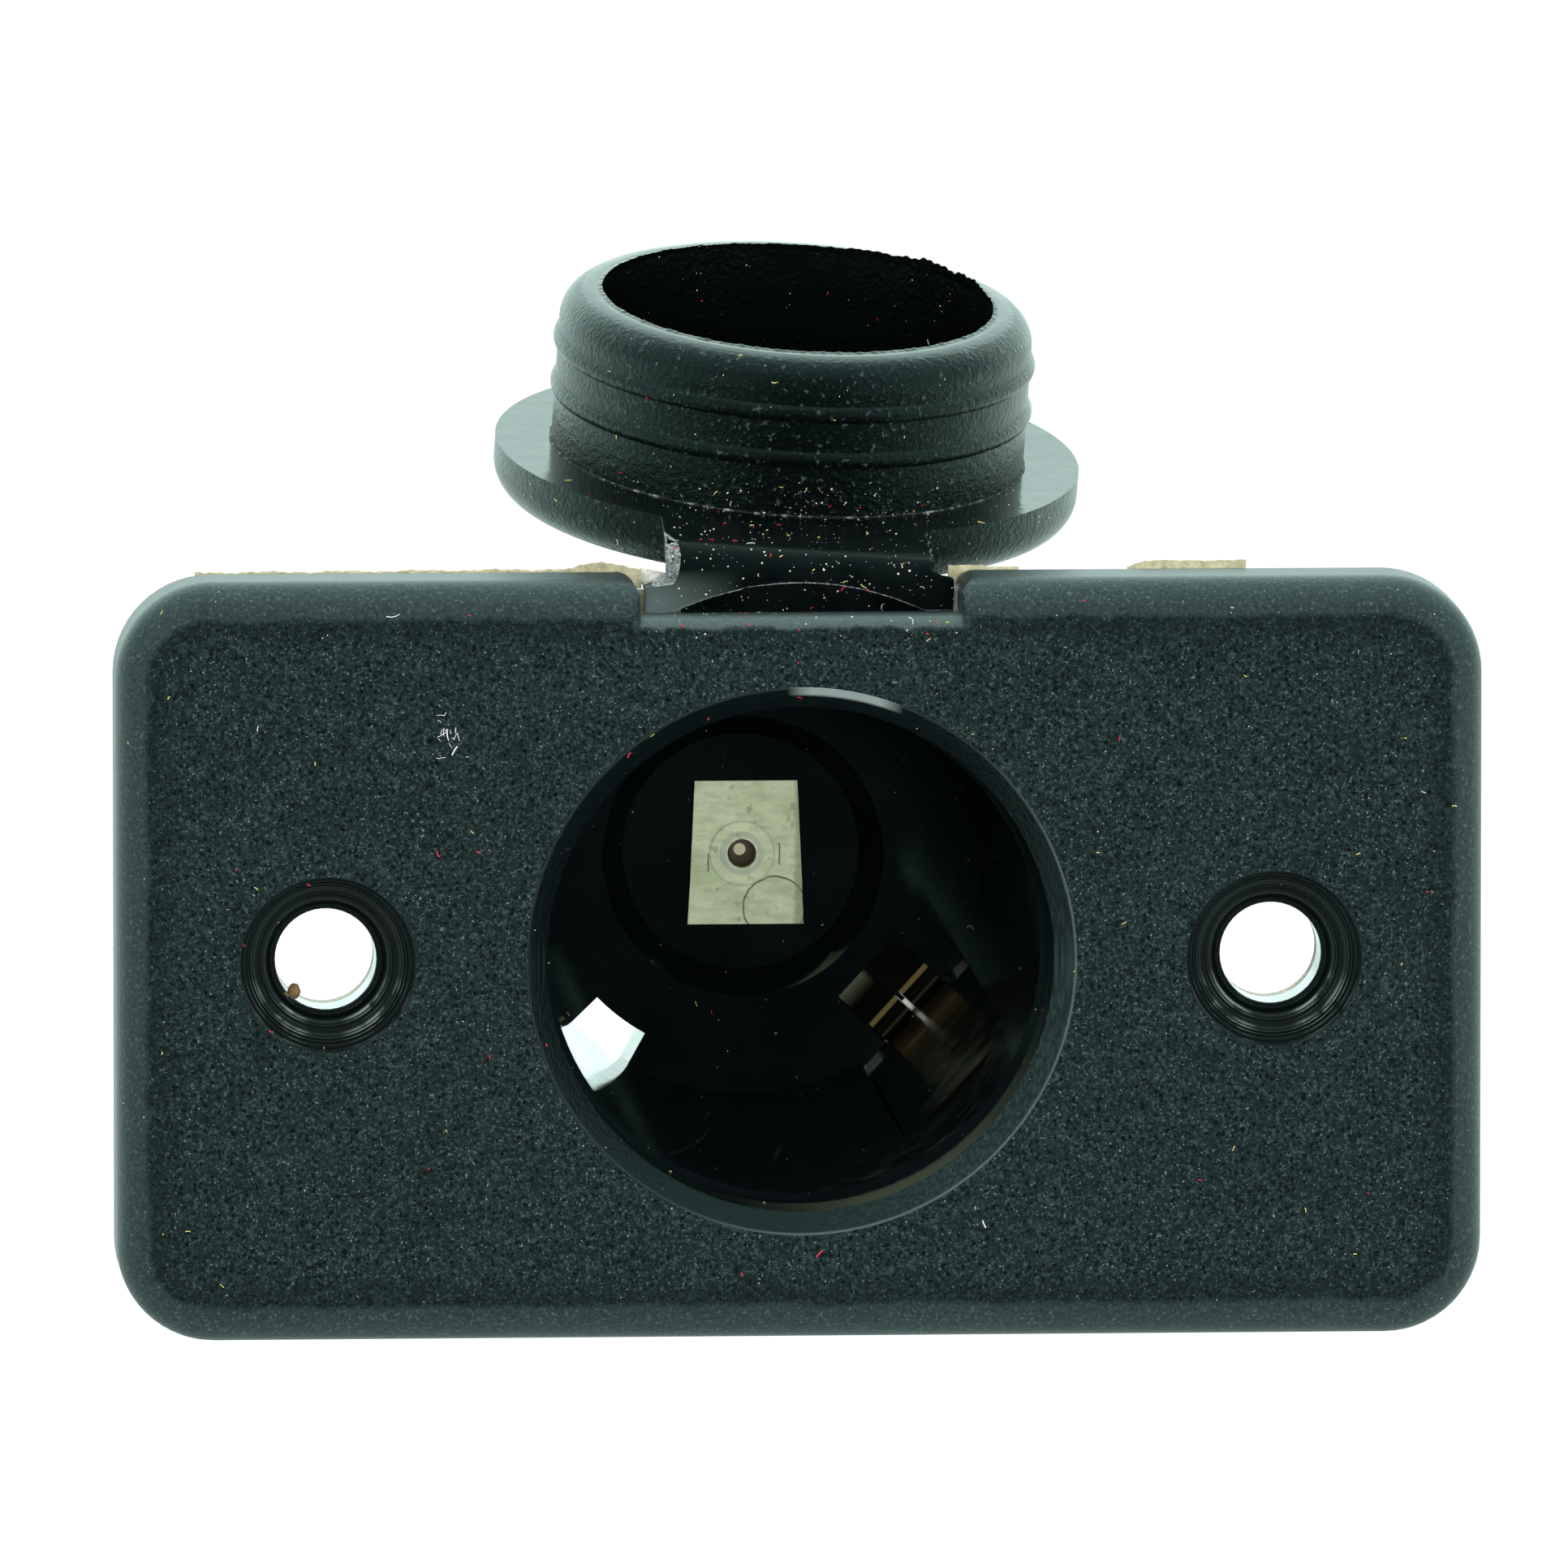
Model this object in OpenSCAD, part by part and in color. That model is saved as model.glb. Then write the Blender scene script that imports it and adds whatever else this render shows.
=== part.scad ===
// Surface-mounted 12 V power socket for a car, with a captive hinged plug cap.
// X is to the right, +Y runs back through the panel and Z is up. The origin is on the
// socket's axis, in the plane where the gasket meets the panel. The cap stands open.

/* [Faceplate] */
// Width of the faceplate
plate_w = 59.2; // [57:0.1:70]
// Height of the faceplate
plate_h = 33; // [32.4:0.1:38]
// Depth of the faceplate from its front to the edge of its rim
plate_depth = 4.8; // [4.6:0.1:7]
// Thickness of the front wall
skin_t = 2; // [1.8:0.1:2.4]
// Thickness of the rim round the back
rim_t = 1.8; // [1.2:0.1:1.9]
// Corner radius of the outline
corner_r = 4.2; // [3:0.1:7]
// Radius of the rounded front edge
edge_r = 1.7; // [0.8:0.1:2.2]

/* [Strap notch] */
// Width of the notch in the top edge
notch_w = 13.9; // [12:0.1:16]
// Depth of the notch below the top edge
notch_drop = 1.5; // [1:0.1:1.8]
// Radius of the notch's front edges
notch_edge_r = 0.65; // [0.3:0.05:0.9]
// Radius where the notch runs out into the top edge
notch_corner_r = 0.8; // [0.3:0.1:1.2]

/* [Screw holes] */
// Distance between the two screws
screw_pitch = 41; // [39.5:0.1:44]
// Radius of the through holes
screw_r = 2.2; // [1.6:0.1:2.4]
// Radius of the countersink at the front
sink_r = 3.775; // [3.2:0.025:4.2]
// Straight depth before the cone
sink_step = 0.5; // [0.2:0.1:0.8]
// Depth of the cone
sink_cone = 1.9; // [1.2:0.1:2.2]
// Wall of the boss round each countersink
boss_wall = 1.5; // [1:0.1:1.8]

/* [Mouth and collar] */
// Radius of the flared mouth at the front face
mouth_r = 11.9; // [11.6:0.05:12.4]
// Depth of the flare
flare_depth = 0.9; // [0.5:0.1:1.4]
// Radius inside the collar
throat_r = 11; // [10.9:0.05:11.3]
// Wall of the collar
collar_t = 1.2; // [0.9:0.1:1.5]
// Depth from the front face to the collar's end
collar_depth = 5; // [4.9:0.1:6]

/* [Barrel] */
// Radius of the plug bore
bore_r = 10.7; // [10.5:0.05:10.8]
// Depth from the front face to the shoulder at the bottom
socket_depth = 42; // [36:0.5:48]
// Wall of the barrel
barrel_t = 1.9; // [1.6:0.1:2.6]
// Wall of the neck that grips the collar
neck_t = 1.25; // [0.9:0.05:1.8]
// How far the neck runs past the gasket's back
neck_reach = 0.6; // [0.4:0.1:2]
// Thickness of the mounting flange
flange_t = 1.1; // [0.9:0.1:1.2]
// Radius of the contact well at the shoulder
well_r = 6.3; // [5.8:0.1:7]
// Radius of the well's floor
well_floor_r = 5.3; // [4.8:0.1:5.6]
// Depth of the well
well_depth = 2; // [1.5:0.1:3]
// Height of the pad that carries the centre contact
pad_h = 0.5; // [0.3:0.1:0.8]
// Thickness of the end wall
end_t = 2.5; // [2:0.1:4]
// Chamfer round the barrel's end
end_chamfer = 0.6; // [0.3:0.1:1]
// Number of stiffening ribs along the barrel
barrel_ribs = 4; // [0:1:6]
// Width of a stiffening rib
barrel_rib_w = 1.6; // [1:0.1:2.4]
// Height of a stiffening rib
barrel_rib_h = 0.7; // [0.4:0.1:1]

/* [Heat stakes] */
// Radius of a stake
stake_r = 1; // [0.8:0.1:1.2]
// Radius of a stake's melted head
stake_head_r = 1.7; // [1.4:0.1:1.9]
// Distance from the flange's edge to a stake's centre
stake_inset = 2.3; // [2.2:0.1:2.6]

/* [Gasket] */
// Thickness of the foam
foam_t = 0.8; // [0.6:0.1:2]
// Thickness of the liner on the foam
liner_t = 0.2; // [0.1:0.05:0.4]
// Inset of the gasket from the plate's outline
gasket_inset = 0.6; // [0.3:0.1:0.8]

/* [Cap] */
// Radius of the cap's flange
cap_r = 12.8; // [12.5:0.05:13]
// Thickness of the flange at its edge
cap_t = 2.5; // [2.2:0.1:2.8]
// Radius of the flange's outer edge
cap_edge_r = 1.5; // [0.8:0.1:1.7]
// Rise of the domed outside
cap_dome = 0.6; // [0.3:0.1:1.2]
// Radius of the skirt
skirt_r = 10.35; // [9.9:0.05:10.45]
// Wall of the skirt
skirt_t = 1.7; // [1.5:0.1:2.2]
// Length of the skirt
skirt_len = 6.9; // [6:0.1:7.2]
// Radius of the skirt's rounded end
skirt_end_r = 1.4; // [1.2:0.1:1.5]
// How far the cap is hollowed past the skirt
cap_hollow = 0.5; // [0:0.1:0.8]
// Distances of the two grip beads from the flange
bead_at = [2.55, 4.6]; // [2:0.05:5]
// Radius of a grip bead's section
bead_r = 0.45; // [0.3:0.05:0.5]
// How far a grip bead stands proud
bead_rise = 0.2; // [0.1:0.05:0.3]

/* [Strap and hinge] */
// Height of the hinge line above the plate's top edge
hinge_rise = 0.98; // [0.7:0.02:1.2]
// Angle from closed to fully open
open_angle = 259.2; // [255:0.1:263]
// How far the hinge line runs back towards its right end, a set in the strap
hinge_yaw = 1.04; // [0:0.02:1.2]
// How far the hinge line drops towards its right end
hinge_roll = 2.06; // [0:0.02:2.2]
// Thickness of the strap
strap_t = 1; // [0.8:0.1:1.1]
// Width of the strap at the cap
strap_w = 11.5; // [10.5:0.1:12]
// Width over the strap's two legs in the notch
legs_w = 13.2; // [12.6:0.1:13.3]
// Distance from the hinge line to the strap's free end
strap_end_gap = 2.15; // [2.1:0.05:2.4]
// Thickness of the ring behind the plate
ring_t = 1; // [0.8:0.1:1.2]
// Width of the ring's band
ring_band = 1.95; // [1.6:0.05:2.1]
// Radius of the arched window between the strap's two legs
window_r = 12.2; // [10:0.1:14]
// Height of the window above the notch's ledge
window_h = 1.34; // [1.1:0.02:1.4]
// How far the window runs down behind the ledge
window_sill = 0.1; // [0.05:0.05:0.2]

/* [Contacts] */
// Thickness of the contact strips
strip_t = 0.35; // [0.3:0.05:0.4]
// Direction of the ground strip round the bore
ground_angle = -42.4; // [-60:0.1:-30]
// Width of the ground strip
ground_w = 6.6; // [5.4:0.1:7]
// Depth from the front face to the ground strip's tip
ground_from = 14; // [10:0.5:20]
// How far the ground strip stands proud of the bore's wall
ground_rise = 0.2; // [0.1:0.02:0.22]
// Length of the ground strip's foot on the shoulder
foot_len = 3; // [2.4:0.1:3.2]
// Radius inside the bend between the strip and its foot
foot_bend_r = 0.7; // [0.4:0.05:0.9]
// Width of the foot
foot_w = 3.7; // [2.8:0.1:3.8]
// Width of the slit in the foot
foot_slit = 0.2; // [0.1:0.05:0.3]
// Width of the centre contact at its bottom edge
centre_w = 5.2; // [4.4:0.1:5.6]
// Width of the centre contact at its top edge
centre_top_w = 4.6; // [4:0.1:5.2]
// How far the centre contact sits to the right of its rivet
centre_shift = 0.2; // [0:0.05:0.3]
// Height of the centre contact
centre_h = 6.5; // [6:0.1:7]
// How much of the centre contact is bent back
centre_bend_h = 2; // [1:0.1:2.2]
// Radius of the hollow rivet's shank
rivet_r = 0.98; // [0.9:0.02:1.1]
// Radius of the rivet's flat head
rivet_head_r = 1.43; // [1.3:0.01:1.6]
// Thickness of the flat head
rivet_head_t = 0.1; // [0.06:0.02:0.2]
// Radius of the rolled lip round the rivet's hollow
rivet_lip_r = 0.11; // [0.08:0.01:0.14]
// Radius of the rivet's hollow at its mouth
rivet_hollow_r = 0.65; // [0.5:0.01:0.7]
// Radius of the hollow's floor
rivet_floor_r = 0.26; // [0.2:0.01:0.4]
// Depth of the rivet's hollow
rivet_hollow = 1.7; // [1:0.1:2.4]
// Radius of the rivet's tail behind the terminal
rivet_tail_r = 1.8; // [1.4:0.1:2.2]
// Thickness of the rivet's tail
rivet_tail_t = 0.5; // [0.3:0.1:0.8]
// Radius of the washer behind the end wall
washer_r = 2.6; // [2.4:0.1:3]
// Thickness of the washer
washer_t = 0.5; // [0.3:0.1:0.8]
// Directions of the moulding slot through the shoulder
slot_angles = [224, 241]; // [200:1:260]
// Width of the moulding slot
slot_w = 1.6; // [1:0.1:2]
// How far the slot cuts into the bore's wall
slot_bite = 0.2; // [0.1:0.05:0.4]

/* [Blade terminals] */
// Width of a blade
blade_w = 6.3; // [4.8:0.1:6.3]
// Thickness of a blade
blade_t = 0.8; // [0.5:0.1:1]
// How far the blades reach behind the end wall
blade_reach = 10; // [8:0.5:14]
// Chamfer at a blade's tip
blade_tip = 1; // [0.5:0.1:1.5]
// Radius of the locking hole in a blade
blade_hole_r = 0.8; // [0.5:0.1:1]
// Height of the centre blade above the socket's axis
centre_blade_at = 4.6; // [4.2:0.1:6]
// Distance of the ground blade from the socket's axis
ground_blade_at = 6.7; // [6.2:0.1:7.2]

/* [Clearances] */
// Gap between pieces that are clamped together
seat_gap = 0.05; // [0.02:0.01:0.06]
// Gap round pieces that drop into place
fit_gap = 0.3; // [0.2:0.05:0.35]
// Gap between the closed cap and the front face
cap_gap = 0.15; // [0.1:0.05:0.2]
// Gap between the strap's fixed and moving ends
hinge_gap = 0.32; // [0.25:0.01:0.4]

/* [Hidden] */
$fn = 96;
over = 0.2;

// Planes from front to back
rim_y = -(foam_t + liner_t);
face_y = rim_y - plate_depth;
skin_y = face_y + skin_t;
ring_y = skin_y + seat_gap;
flange_y = ring_y + ring_t + seat_gap;
flange_back_y = flange_y + flange_t;
collar_end_y = face_y + collar_depth;
bore_y = collar_end_y + seat_gap;
shoulder_y = face_y + socket_depth;
well_y = shoulder_y + well_depth;
pad_y = well_y - pad_h;
end_y = well_y + end_t;
blade_end_y = end_y + blade_reach;

// Heights and radii that follow from the sizes above
top_z = plate_h / 2;
ledge_z = top_z - notch_drop;
hinge_z = top_z + hinge_rise;
collar_r = throat_r + collar_t;
neck_r = collar_r + seat_gap + neck_t;
barrel_r = bore_r + barrel_t;
boss_r = sink_r + boss_wall;
flange_w = screw_pitch - 2 * (boss_r + fit_gap);
flange_h = plate_h - 2 * (rim_t + fit_gap);
stake_x = flange_w / 2 - stake_inset;
stake_z = flange_h / 2 - stake_inset;
ring_r = collar_r + seat_gap + ring_band;
gasket_hole_r = neck_r + fit_gap;

// The strap's underside at rest, where the fixed legs stop short of it
lean = open_angle - 270;
strap_foot_z = hinge_z - strap_end_gap * sin(lean) - (strap_t + cap_gap) * cos(lean)
    - strap_w / 2 * sin(hinge_yaw + hinge_roll);
leg_top_z = strap_foot_z - hinge_gap;
window_z = ledge_z + window_h - window_r;
tab_top_z = leg_top_z;
cap_cut_z = sqrt(cap_r * cap_r - strap_w * strap_w / 4);

centre_fold_z = centre_bend_h - centre_h / 2;

// The ground strip's inner face is flat, so its middle stands furthest into the bore
ground_x = bore_r - ground_rise;
ground_ear_w = (ground_w - foot_w) / 2 - seat_gap;
strip_foot_y = shoulder_y + foot_bend_r;
ground_foot_y = end_y + seat_gap;
centre_foot_y = end_y + washer_t + 2 * seat_gap;

// A plane outline, thickened from y0 back to y1
module slab(y0, y1) {
    translate([0, y1, 0]) rotate([90, 0, 0]) linear_extrude(height = y1 - y0) children();
}

// A half section, with its radius along x and its depth along y, turned about the socket's axis
module turned() {
    rotate([-90, 0, 0]) rotate_extrude() children();
}

// A cylinder along the socket's direction from y0 back to y1
module rod(r, y0, y1) {
    translate([0, y0, 0]) rotate([-90, 0, 0]) cylinder(r = r, h = y1 - y0);
}

module rounded_rect(w, h, r) {
    square([w - 2 * r, h], center = true);
    square([w, h - 2 * r], center = true);
    for (x = [-1, 1], z = [-1, 1]) translate([x * (w / 2 - r), z * (h / 2 - r)]) circle(r);
}

module at_screws() {
    for (side = [-1, 1]) translate([side * screw_pitch / 2, 0, 0]) children();
}

module at_stakes() {
    for (x = [-1, 1], z = [-1, 1]) translate([x * stake_x, 0, z * stake_z]) children();
}

// What is taken off a square corner to round it
module corner_waste(r) {
    difference() {
        translate([-over, -over]) square(r + over);
        translate([r, r]) circle(r);
    }
}

// Cross-section of the plate, with its two front edges rounded
module plate_section(span) {
    translate([-span / 2, 0]) square([span, plate_depth - edge_r]);
    translate([edge_r - span / 2, 0]) square([span - 2 * edge_r, plate_depth]);
    for (side = [-1, 1]) {
        translate([side * (span / 2 - edge_r), plate_depth - edge_r]) circle(edge_r);
    }
}

// Half section of a plate corner
module corner_section() {
    square([corner_r, plate_depth - edge_r]);
    square([corner_r - edge_r, plate_depth]);
    translate([corner_r - edge_r, plate_depth - edge_r]) circle(edge_r);
}

module plate_blank() {
    translate([0, rim_y, 0]) {
        rotate([0, -90, 180]) {
            linear_extrude(height = plate_w - 2 * corner_r, center = true) plate_section(plate_h);
        }
        rotate([0, 0, 180]) {
            linear_extrude(height = plate_h - 2 * corner_r, center = true) plate_section(plate_w);
        }
        for (x = [-1, 1], z = [-1, 1]) {
            translate([x * (plate_w / 2 - corner_r), 0, z * (plate_h / 2 - corner_r)]) {
                rotate([90, 0, 0]) rotate_extrude() corner_section();
            }
        }
    }
}

// The notch that the strap comes up through, with its rounded front edges
module strap_notch() {
    translate([-notch_w / 2, face_y - over, ledge_z]) {
        cube([notch_w, plate_depth + 2 * over, notch_drop + over]);
    }
    translate([0, face_y, ledge_z]) mirror([0, 0, 1]) rotate([90, 0, 90]) {
        linear_extrude(height = notch_w, center = true) corner_waste(notch_edge_r);
    }
    for (side = [0, 1]) mirror([side, 0, 0]) {
        translate([notch_w / 2, face_y, ledge_z]) {
            linear_extrude(height = notch_drop + over) corner_waste(notch_edge_r);
        }
        translate([notch_w / 2, face_y + plate_depth / 2, top_z]) mirror([0, 0, 1]) {
            rotate([90, 0, 0]) {
                linear_extrude(height = plate_depth + 2 * over, center = true) {
                    corner_waste(notch_corner_r);
                }
            }
        }
    }
}

// The hollow back of the plate, open towards the gasket and up through the notch
module plate_hollow() {
    slab(skin_y, rim_y + over) {
        rounded_rect(plate_w - 2 * rim_t, plate_h - 2 * rim_t, corner_r - rim_t);
        translate([-notch_w / 2, 0]) square([notch_w, plate_h]);
    }
}

module countersink() {
    turned() {
        polygon([
            [0, face_y - over], [sink_r, face_y - over], [sink_r, face_y + sink_step],
            [screw_r, face_y + sink_step + sink_cone], [screw_r, rim_y + over], [0, rim_y + over]
        ]);
    }
}

// Ribs that tie each screw boss to the rim
module boss_ribs() {
    rib_t = rim_t / 2;
    for (side = [-1, 1]) {
        slab(skin_y - over, rim_y) translate([side * screw_pitch / 2, 0]) {
            square([rib_t, plate_h - rim_t], center = true);
        }
        slab(skin_y - over, rim_y) translate([side * (screw_pitch / 2 + plate_w / 2) / 2, 0]) {
            square([plate_w / 2 - screw_pitch / 2 - rim_t, rib_t], center = true);
        }
    }
}

module faceplate() {
    color([0.14, 0.19, 0.19]) difference() {
        union() {
            difference() {
                plate_blank();
                plate_hollow();
            }
            boss_ribs();
            at_screws() rod(boss_r, skin_y - over, rim_y);
            rod(collar_r, skin_y - over, collar_end_y);
            at_stakes() rod(stake_r, skin_y - over, rim_y);
            at_stakes() rod(stake_head_r, flange_back_y + seat_gap, rim_y);
        }
        strap_notch();
        at_screws() countersink();
        turned() {
            polygon([
                [0, face_y - over], [mouth_r + over * (mouth_r - throat_r) / flare_depth, face_y - over],
                [throat_r, face_y + flare_depth], [throat_r, collar_end_y + over],
                [0, collar_end_y + over]
            ]);
        }
    }
}

// Half section of the barrel: neck, tube, shoulder and contact well
module barrel_section() {
    polygon([
        [bore_r, bore_y], [collar_r + seat_gap, bore_y], [collar_r + seat_gap, flange_y],
        [neck_r, flange_y], [neck_r, neck_reach], [barrel_r, neck_reach + neck_r - barrel_r],
        [barrel_r, end_y - end_chamfer], [barrel_r - end_chamfer, end_y], [0, end_y],
        [0, well_y], [well_floor_r, well_y], [well_r, shoulder_y], [bore_r, shoulder_y]
    ]);
}

// The flange behind the ring, with the tab that closes the strap's window
module barrel_flange() {
    slab(flange_y, flange_back_y) difference() {
        union() {
            rounded_rect(flange_w, flange_h, stake_inset);
            tab_w = notch_w - 2 * fit_gap;
            translate([-tab_w / 2, 0]) square([tab_w, tab_top_z]);
        }
        circle(collar_r + seat_gap);
        for (x = [-1, 1], z = [-1, 1]) {
            translate([x * stake_x, z * stake_z]) circle(stake_r + seat_gap);
        }
    }
}

// Outline of the centre contact and of the pad behind it
module centre_outline() {
    translate([centre_shift, 0]) polygon([
        [-centre_top_w / 2, centre_h / 2], [centre_top_w / 2, centre_h / 2],
        [centre_w / 2, -centre_h / 2], [-centre_w / 2, -centre_h / 2]
    ]);
}

// Everything about the ground strip is drawn with the strip's outward direction along +X
module at_ground() {
    rotate([0, -ground_angle, 0]) children();
}

// Room for the ground strip in the wall, its foot in the shoulder and its ears in the end wall
module ground_recess() {
    gap = seat_gap;
    at_ground() {
        translate([ground_x - 2 * fit_gap, face_y + ground_from - fit_gap, -ground_w / 2 - gap]) {
            cube([2 * fit_gap + strip_t + gap, socket_depth - ground_from + fit_gap + gap,
                  ground_w + 2 * gap]);
        }
        translate([ground_x - foot_len - gap, shoulder_y - over, -foot_w / 2 - gap]) {
            cube([foot_len + strip_t + 2 * gap, over + foot_bend_r + strip_t + gap, foot_w + 2 * gap]);
        }
        for (side = [0, 1]) mirror([0, 0, side]) {
            translate([ground_x - gap, shoulder_y - over, ground_w / 2 - ground_ear_w - gap]) {
                cube([strip_t + 2 * gap, end_y - shoulder_y + 2 * over, ground_ear_w + 2 * gap]);
            }
        }
    }
}

// The slot that the mould leaves through the shoulder beside the wall
module shoulder_slot() {
    slab(shoulder_y - over, end_y + over) {
        intersection() {
            difference() {
                circle(bore_r + slot_bite);
                circle(bore_r - slot_w);
            }
            polygon([
                [0, 0],
                2 * bore_r * [cos(slot_angles[0]), sin(slot_angles[0])],
                2 * bore_r * [cos(slot_angles[1]), sin(slot_angles[1])]
            ]);
        }
    }
}

module barrel_rib(angle) {
    rotate([0, -angle, 0]) {
        translate([barrel_r - over, neck_reach, -barrel_rib_w / 2]) {
            cube([barrel_rib_h + over, end_y - end_chamfer - 2 * barrel_rib_w, barrel_rib_w]);
        }
    }
}

module socket_barrel() {
    color([0.07, 0.08, 0.09]) difference() {
        union() {
            turned() barrel_section();
            barrel_flange();
            slab(pad_y, well_y + over) intersection() {
                centre_outline();
                translate([-centre_w, centre_fold_z]) square([2 * centre_w, centre_h - centre_bend_h]);
            }
            if (barrel_ribs > 0) {
                for (i = [0 : barrel_ribs - 1]) barrel_rib(45 + i * 360 / barrel_ribs);
            }
        }
        ground_recess();
        shoulder_slot();
        rod(rivet_r + seat_gap, pad_y - over, end_y + over);
    }
}

// The ring that the strap hangs from, trapped round the collar behind the front wall
module strap_ring() {
    color([0.08, 0.09, 0.1]) slab(ring_y, ring_y + ring_t) difference() {
        union() {
            circle(ring_r);
            translate([-legs_w / 2, 0]) square([legs_w, leg_top_z]);
        }
        circle(collar_r + seat_gap);
        intersection() {
            translate([0, window_z]) circle(window_r);
            translate([-legs_w, ledge_z - window_sill]) square([2 * legs_w, plate_h]);
        }
    }
}

// Half section of the cap. Its depth axis starts at the flange's inner face
module cap_section() {
    dome_r = (pow(cap_r - cap_edge_r, 2) + pow(cap_dome, 2)) / (2 * cap_dome);
    difference() {
        union() {
            intersection() {
                translate([0, -cap_t]) square([cap_r, cap_t]);
                union() {
                    translate([0, -cap_t]) square([cap_r - cap_edge_r, cap_t]);
                    translate([0, cap_edge_r - cap_t]) square([cap_r, cap_t]);
                    translate([cap_r - cap_edge_r, cap_edge_r - cap_t]) circle(cap_edge_r);
                }
            }
            intersection() {
                translate([0, -cap_t - cap_dome]) square([cap_r - cap_edge_r, 2 * cap_dome]);
                translate([0, dome_r - cap_t - cap_dome]) circle(dome_r, $fn = 360);
            }
            translate([0, -cap_t / 2]) square([skirt_r, cap_t / 2 + skirt_len - skirt_end_r]);
            square([skirt_r - skirt_end_r, skirt_len]);
            translate([skirt_r - skirt_end_r, skirt_len - skirt_end_r]) circle(skirt_end_r);
            for (at = bead_at) translate([skirt_r + bead_rise - bead_r, at]) circle(bead_r);
        }
        translate([-over, -cap_hollow]) square([skirt_r - skirt_t + over, skirt_len + cap_hollow + over]);
    }
}

// The cap as it lies when closed, pressed into the mouth
module closed_cap() {
    under_y = face_y - cap_gap;
    difference() {
        translate([0, under_y, 0]) turned() cap_section();
        translate([-cap_r, under_y - cap_t - cap_dome - over, cap_cut_z]) {
            cube([2 * cap_r, cap_t + cap_dome + 2 * over, cap_r]);
        }
    }
    strap_root_z = cap_cut_z - 1.5 * strap_t;
    translate([-strap_w / 2, under_y - strap_t, strap_root_z]) {
        cube([strap_w, strap_t, hinge_z - strap_end_gap - strap_root_z]);
    }
}

module plug_cap() {
    color([0.1, 0.13, 0.14]) {
        translate([0, face_y, hinge_z]) rotate(-open_angle, [1, tan(hinge_yaw), -tan(hinge_roll)]) {
            translate([0, -face_y, -hinge_z]) closed_cap();
        }
    }
}

module gasket_outline() {
    difference() {
        rounded_rect(plate_w - 2 * gasket_inset, plate_h - 2 * gasket_inset, corner_r - gasket_inset);
        circle(gasket_hole_r);
        for (side = [-1, 1]) translate([side * screw_pitch / 2, 0]) circle(screw_r);
        translate([-notch_w / 2 - gasket_inset, ledge_z - gasket_inset]) {
            square([notch_w + 2 * gasket_inset, plate_h]);
        }
    }
}

module foam_gasket() {
    color([0.9, 0.9, 0.86]) slab(rim_y, -liner_t) gasket_outline();
}

module gasket_liner() {
    color([0.78, 0.7, 0.52]) slab(-liner_t, 0) gasket_outline();
}

module centre_contact() {
    top = centre_h / 2;
    drop = pad_h - seat_gap;
    color([0.75, 0.77, 0.72]) difference() {
        intersection() {
            rotate([90, 0, 90]) linear_extrude(height = 2 * centre_w, center = true) {
                polygon([
                    [pad_y - strip_t, top], [pad_y, top], [pad_y, centre_fold_z],
                    [pad_y + drop, -top], [pad_y + drop - strip_t, -top],
                    [pad_y - strip_t, centre_fold_z]
                ]);
            }
            slab(pad_y - strip_t - over, well_y) centre_outline();
        }
        rod(rivet_r + seat_gap, pad_y - strip_t - over, pad_y + over);
    }
}

module centre_rivet() {
    head_y = pad_y - strip_t - seat_gap;
    tail_y = centre_foot_y + blade_t + seat_gap;
    color([0.72, 0.72, 0.66]) difference() {
        union() {
            rod(rivet_r, head_y - over, tail_y + over);
            rod(rivet_tail_r, tail_y, tail_y + rivet_tail_t);
            turned() {
                translate([0, head_y - rivet_head_t]) square([rivet_head_r, rivet_head_t]);
                translate([rivet_hollow_r + rivet_lip_r, head_y - rivet_head_t]) circle(rivet_lip_r);
            }
        }
        turned() {
            polygon([
                [0, head_y - rivet_head_r], [rivet_hollow_r, head_y - rivet_head_r],
                [rivet_hollow_r, head_y], [rivet_floor_r, head_y + rivet_hollow],
                [0, head_y + rivet_hollow]
            ]);
        }
    }
}

module centre_washer() {
    color([0.72, 0.6, 0.3]) difference() {
        rod(washer_r, end_y + seat_gap, end_y + seat_gap + washer_t);
        rod(rivet_r + seat_gap, end_y, end_y + 2 * washer_t);
    }
}

// A folded blade: its foot lies on the end wall from x = 0 to reach, and the blade stands behind x = 0
module folded_blade(foot_y, reach) {
    fold_r = 2 * blade_t;
    intersection() {
        linear_extrude(height = blade_w, center = true) {
            translate([fold_r, foot_y]) square([reach - fold_r, blade_t]);
            translate([0, foot_y + fold_r]) square([blade_t, blade_end_y - foot_y - fold_r]);
            intersection() {
                translate([fold_r, foot_y + fold_r]) difference() {
                    circle(fold_r);
                    circle(fold_r - blade_t);
                }
                translate([0, foot_y]) square(fold_r);
            }
        }
        rotate([90, 0, 90]) linear_extrude(height = 4 * reach, center = true) {
            polygon([
                [foot_y, blade_w / 2], [blade_end_y - blade_tip, blade_w / 2],
                [blade_end_y, blade_w / 2 - blade_tip], [blade_end_y, blade_tip - blade_w / 2],
                [blade_end_y - blade_tip, -blade_w / 2], [foot_y, -blade_w / 2]
            ]);
        }
    }
}

module blade_hole() {
    translate([-over, blade_end_y - blade_w / 2, 0]) rotate([0, 90, 0]) {
        cylinder(r = blade_hole_r, h = blade_t + 2 * over);
    }
}

module centre_terminal() {
    reach = centre_blade_at + washer_r;
    color([0.72, 0.62, 0.34]) difference() {
        translate([0, 0, centre_blade_at]) rotate([0, 90, 0]) {
            difference() {
                folded_blade(centre_foot_y, reach);
                blade_hole();
            }
        }
        rod(rivet_r + seat_gap, end_y, blade_end_y);
    }
}

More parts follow.
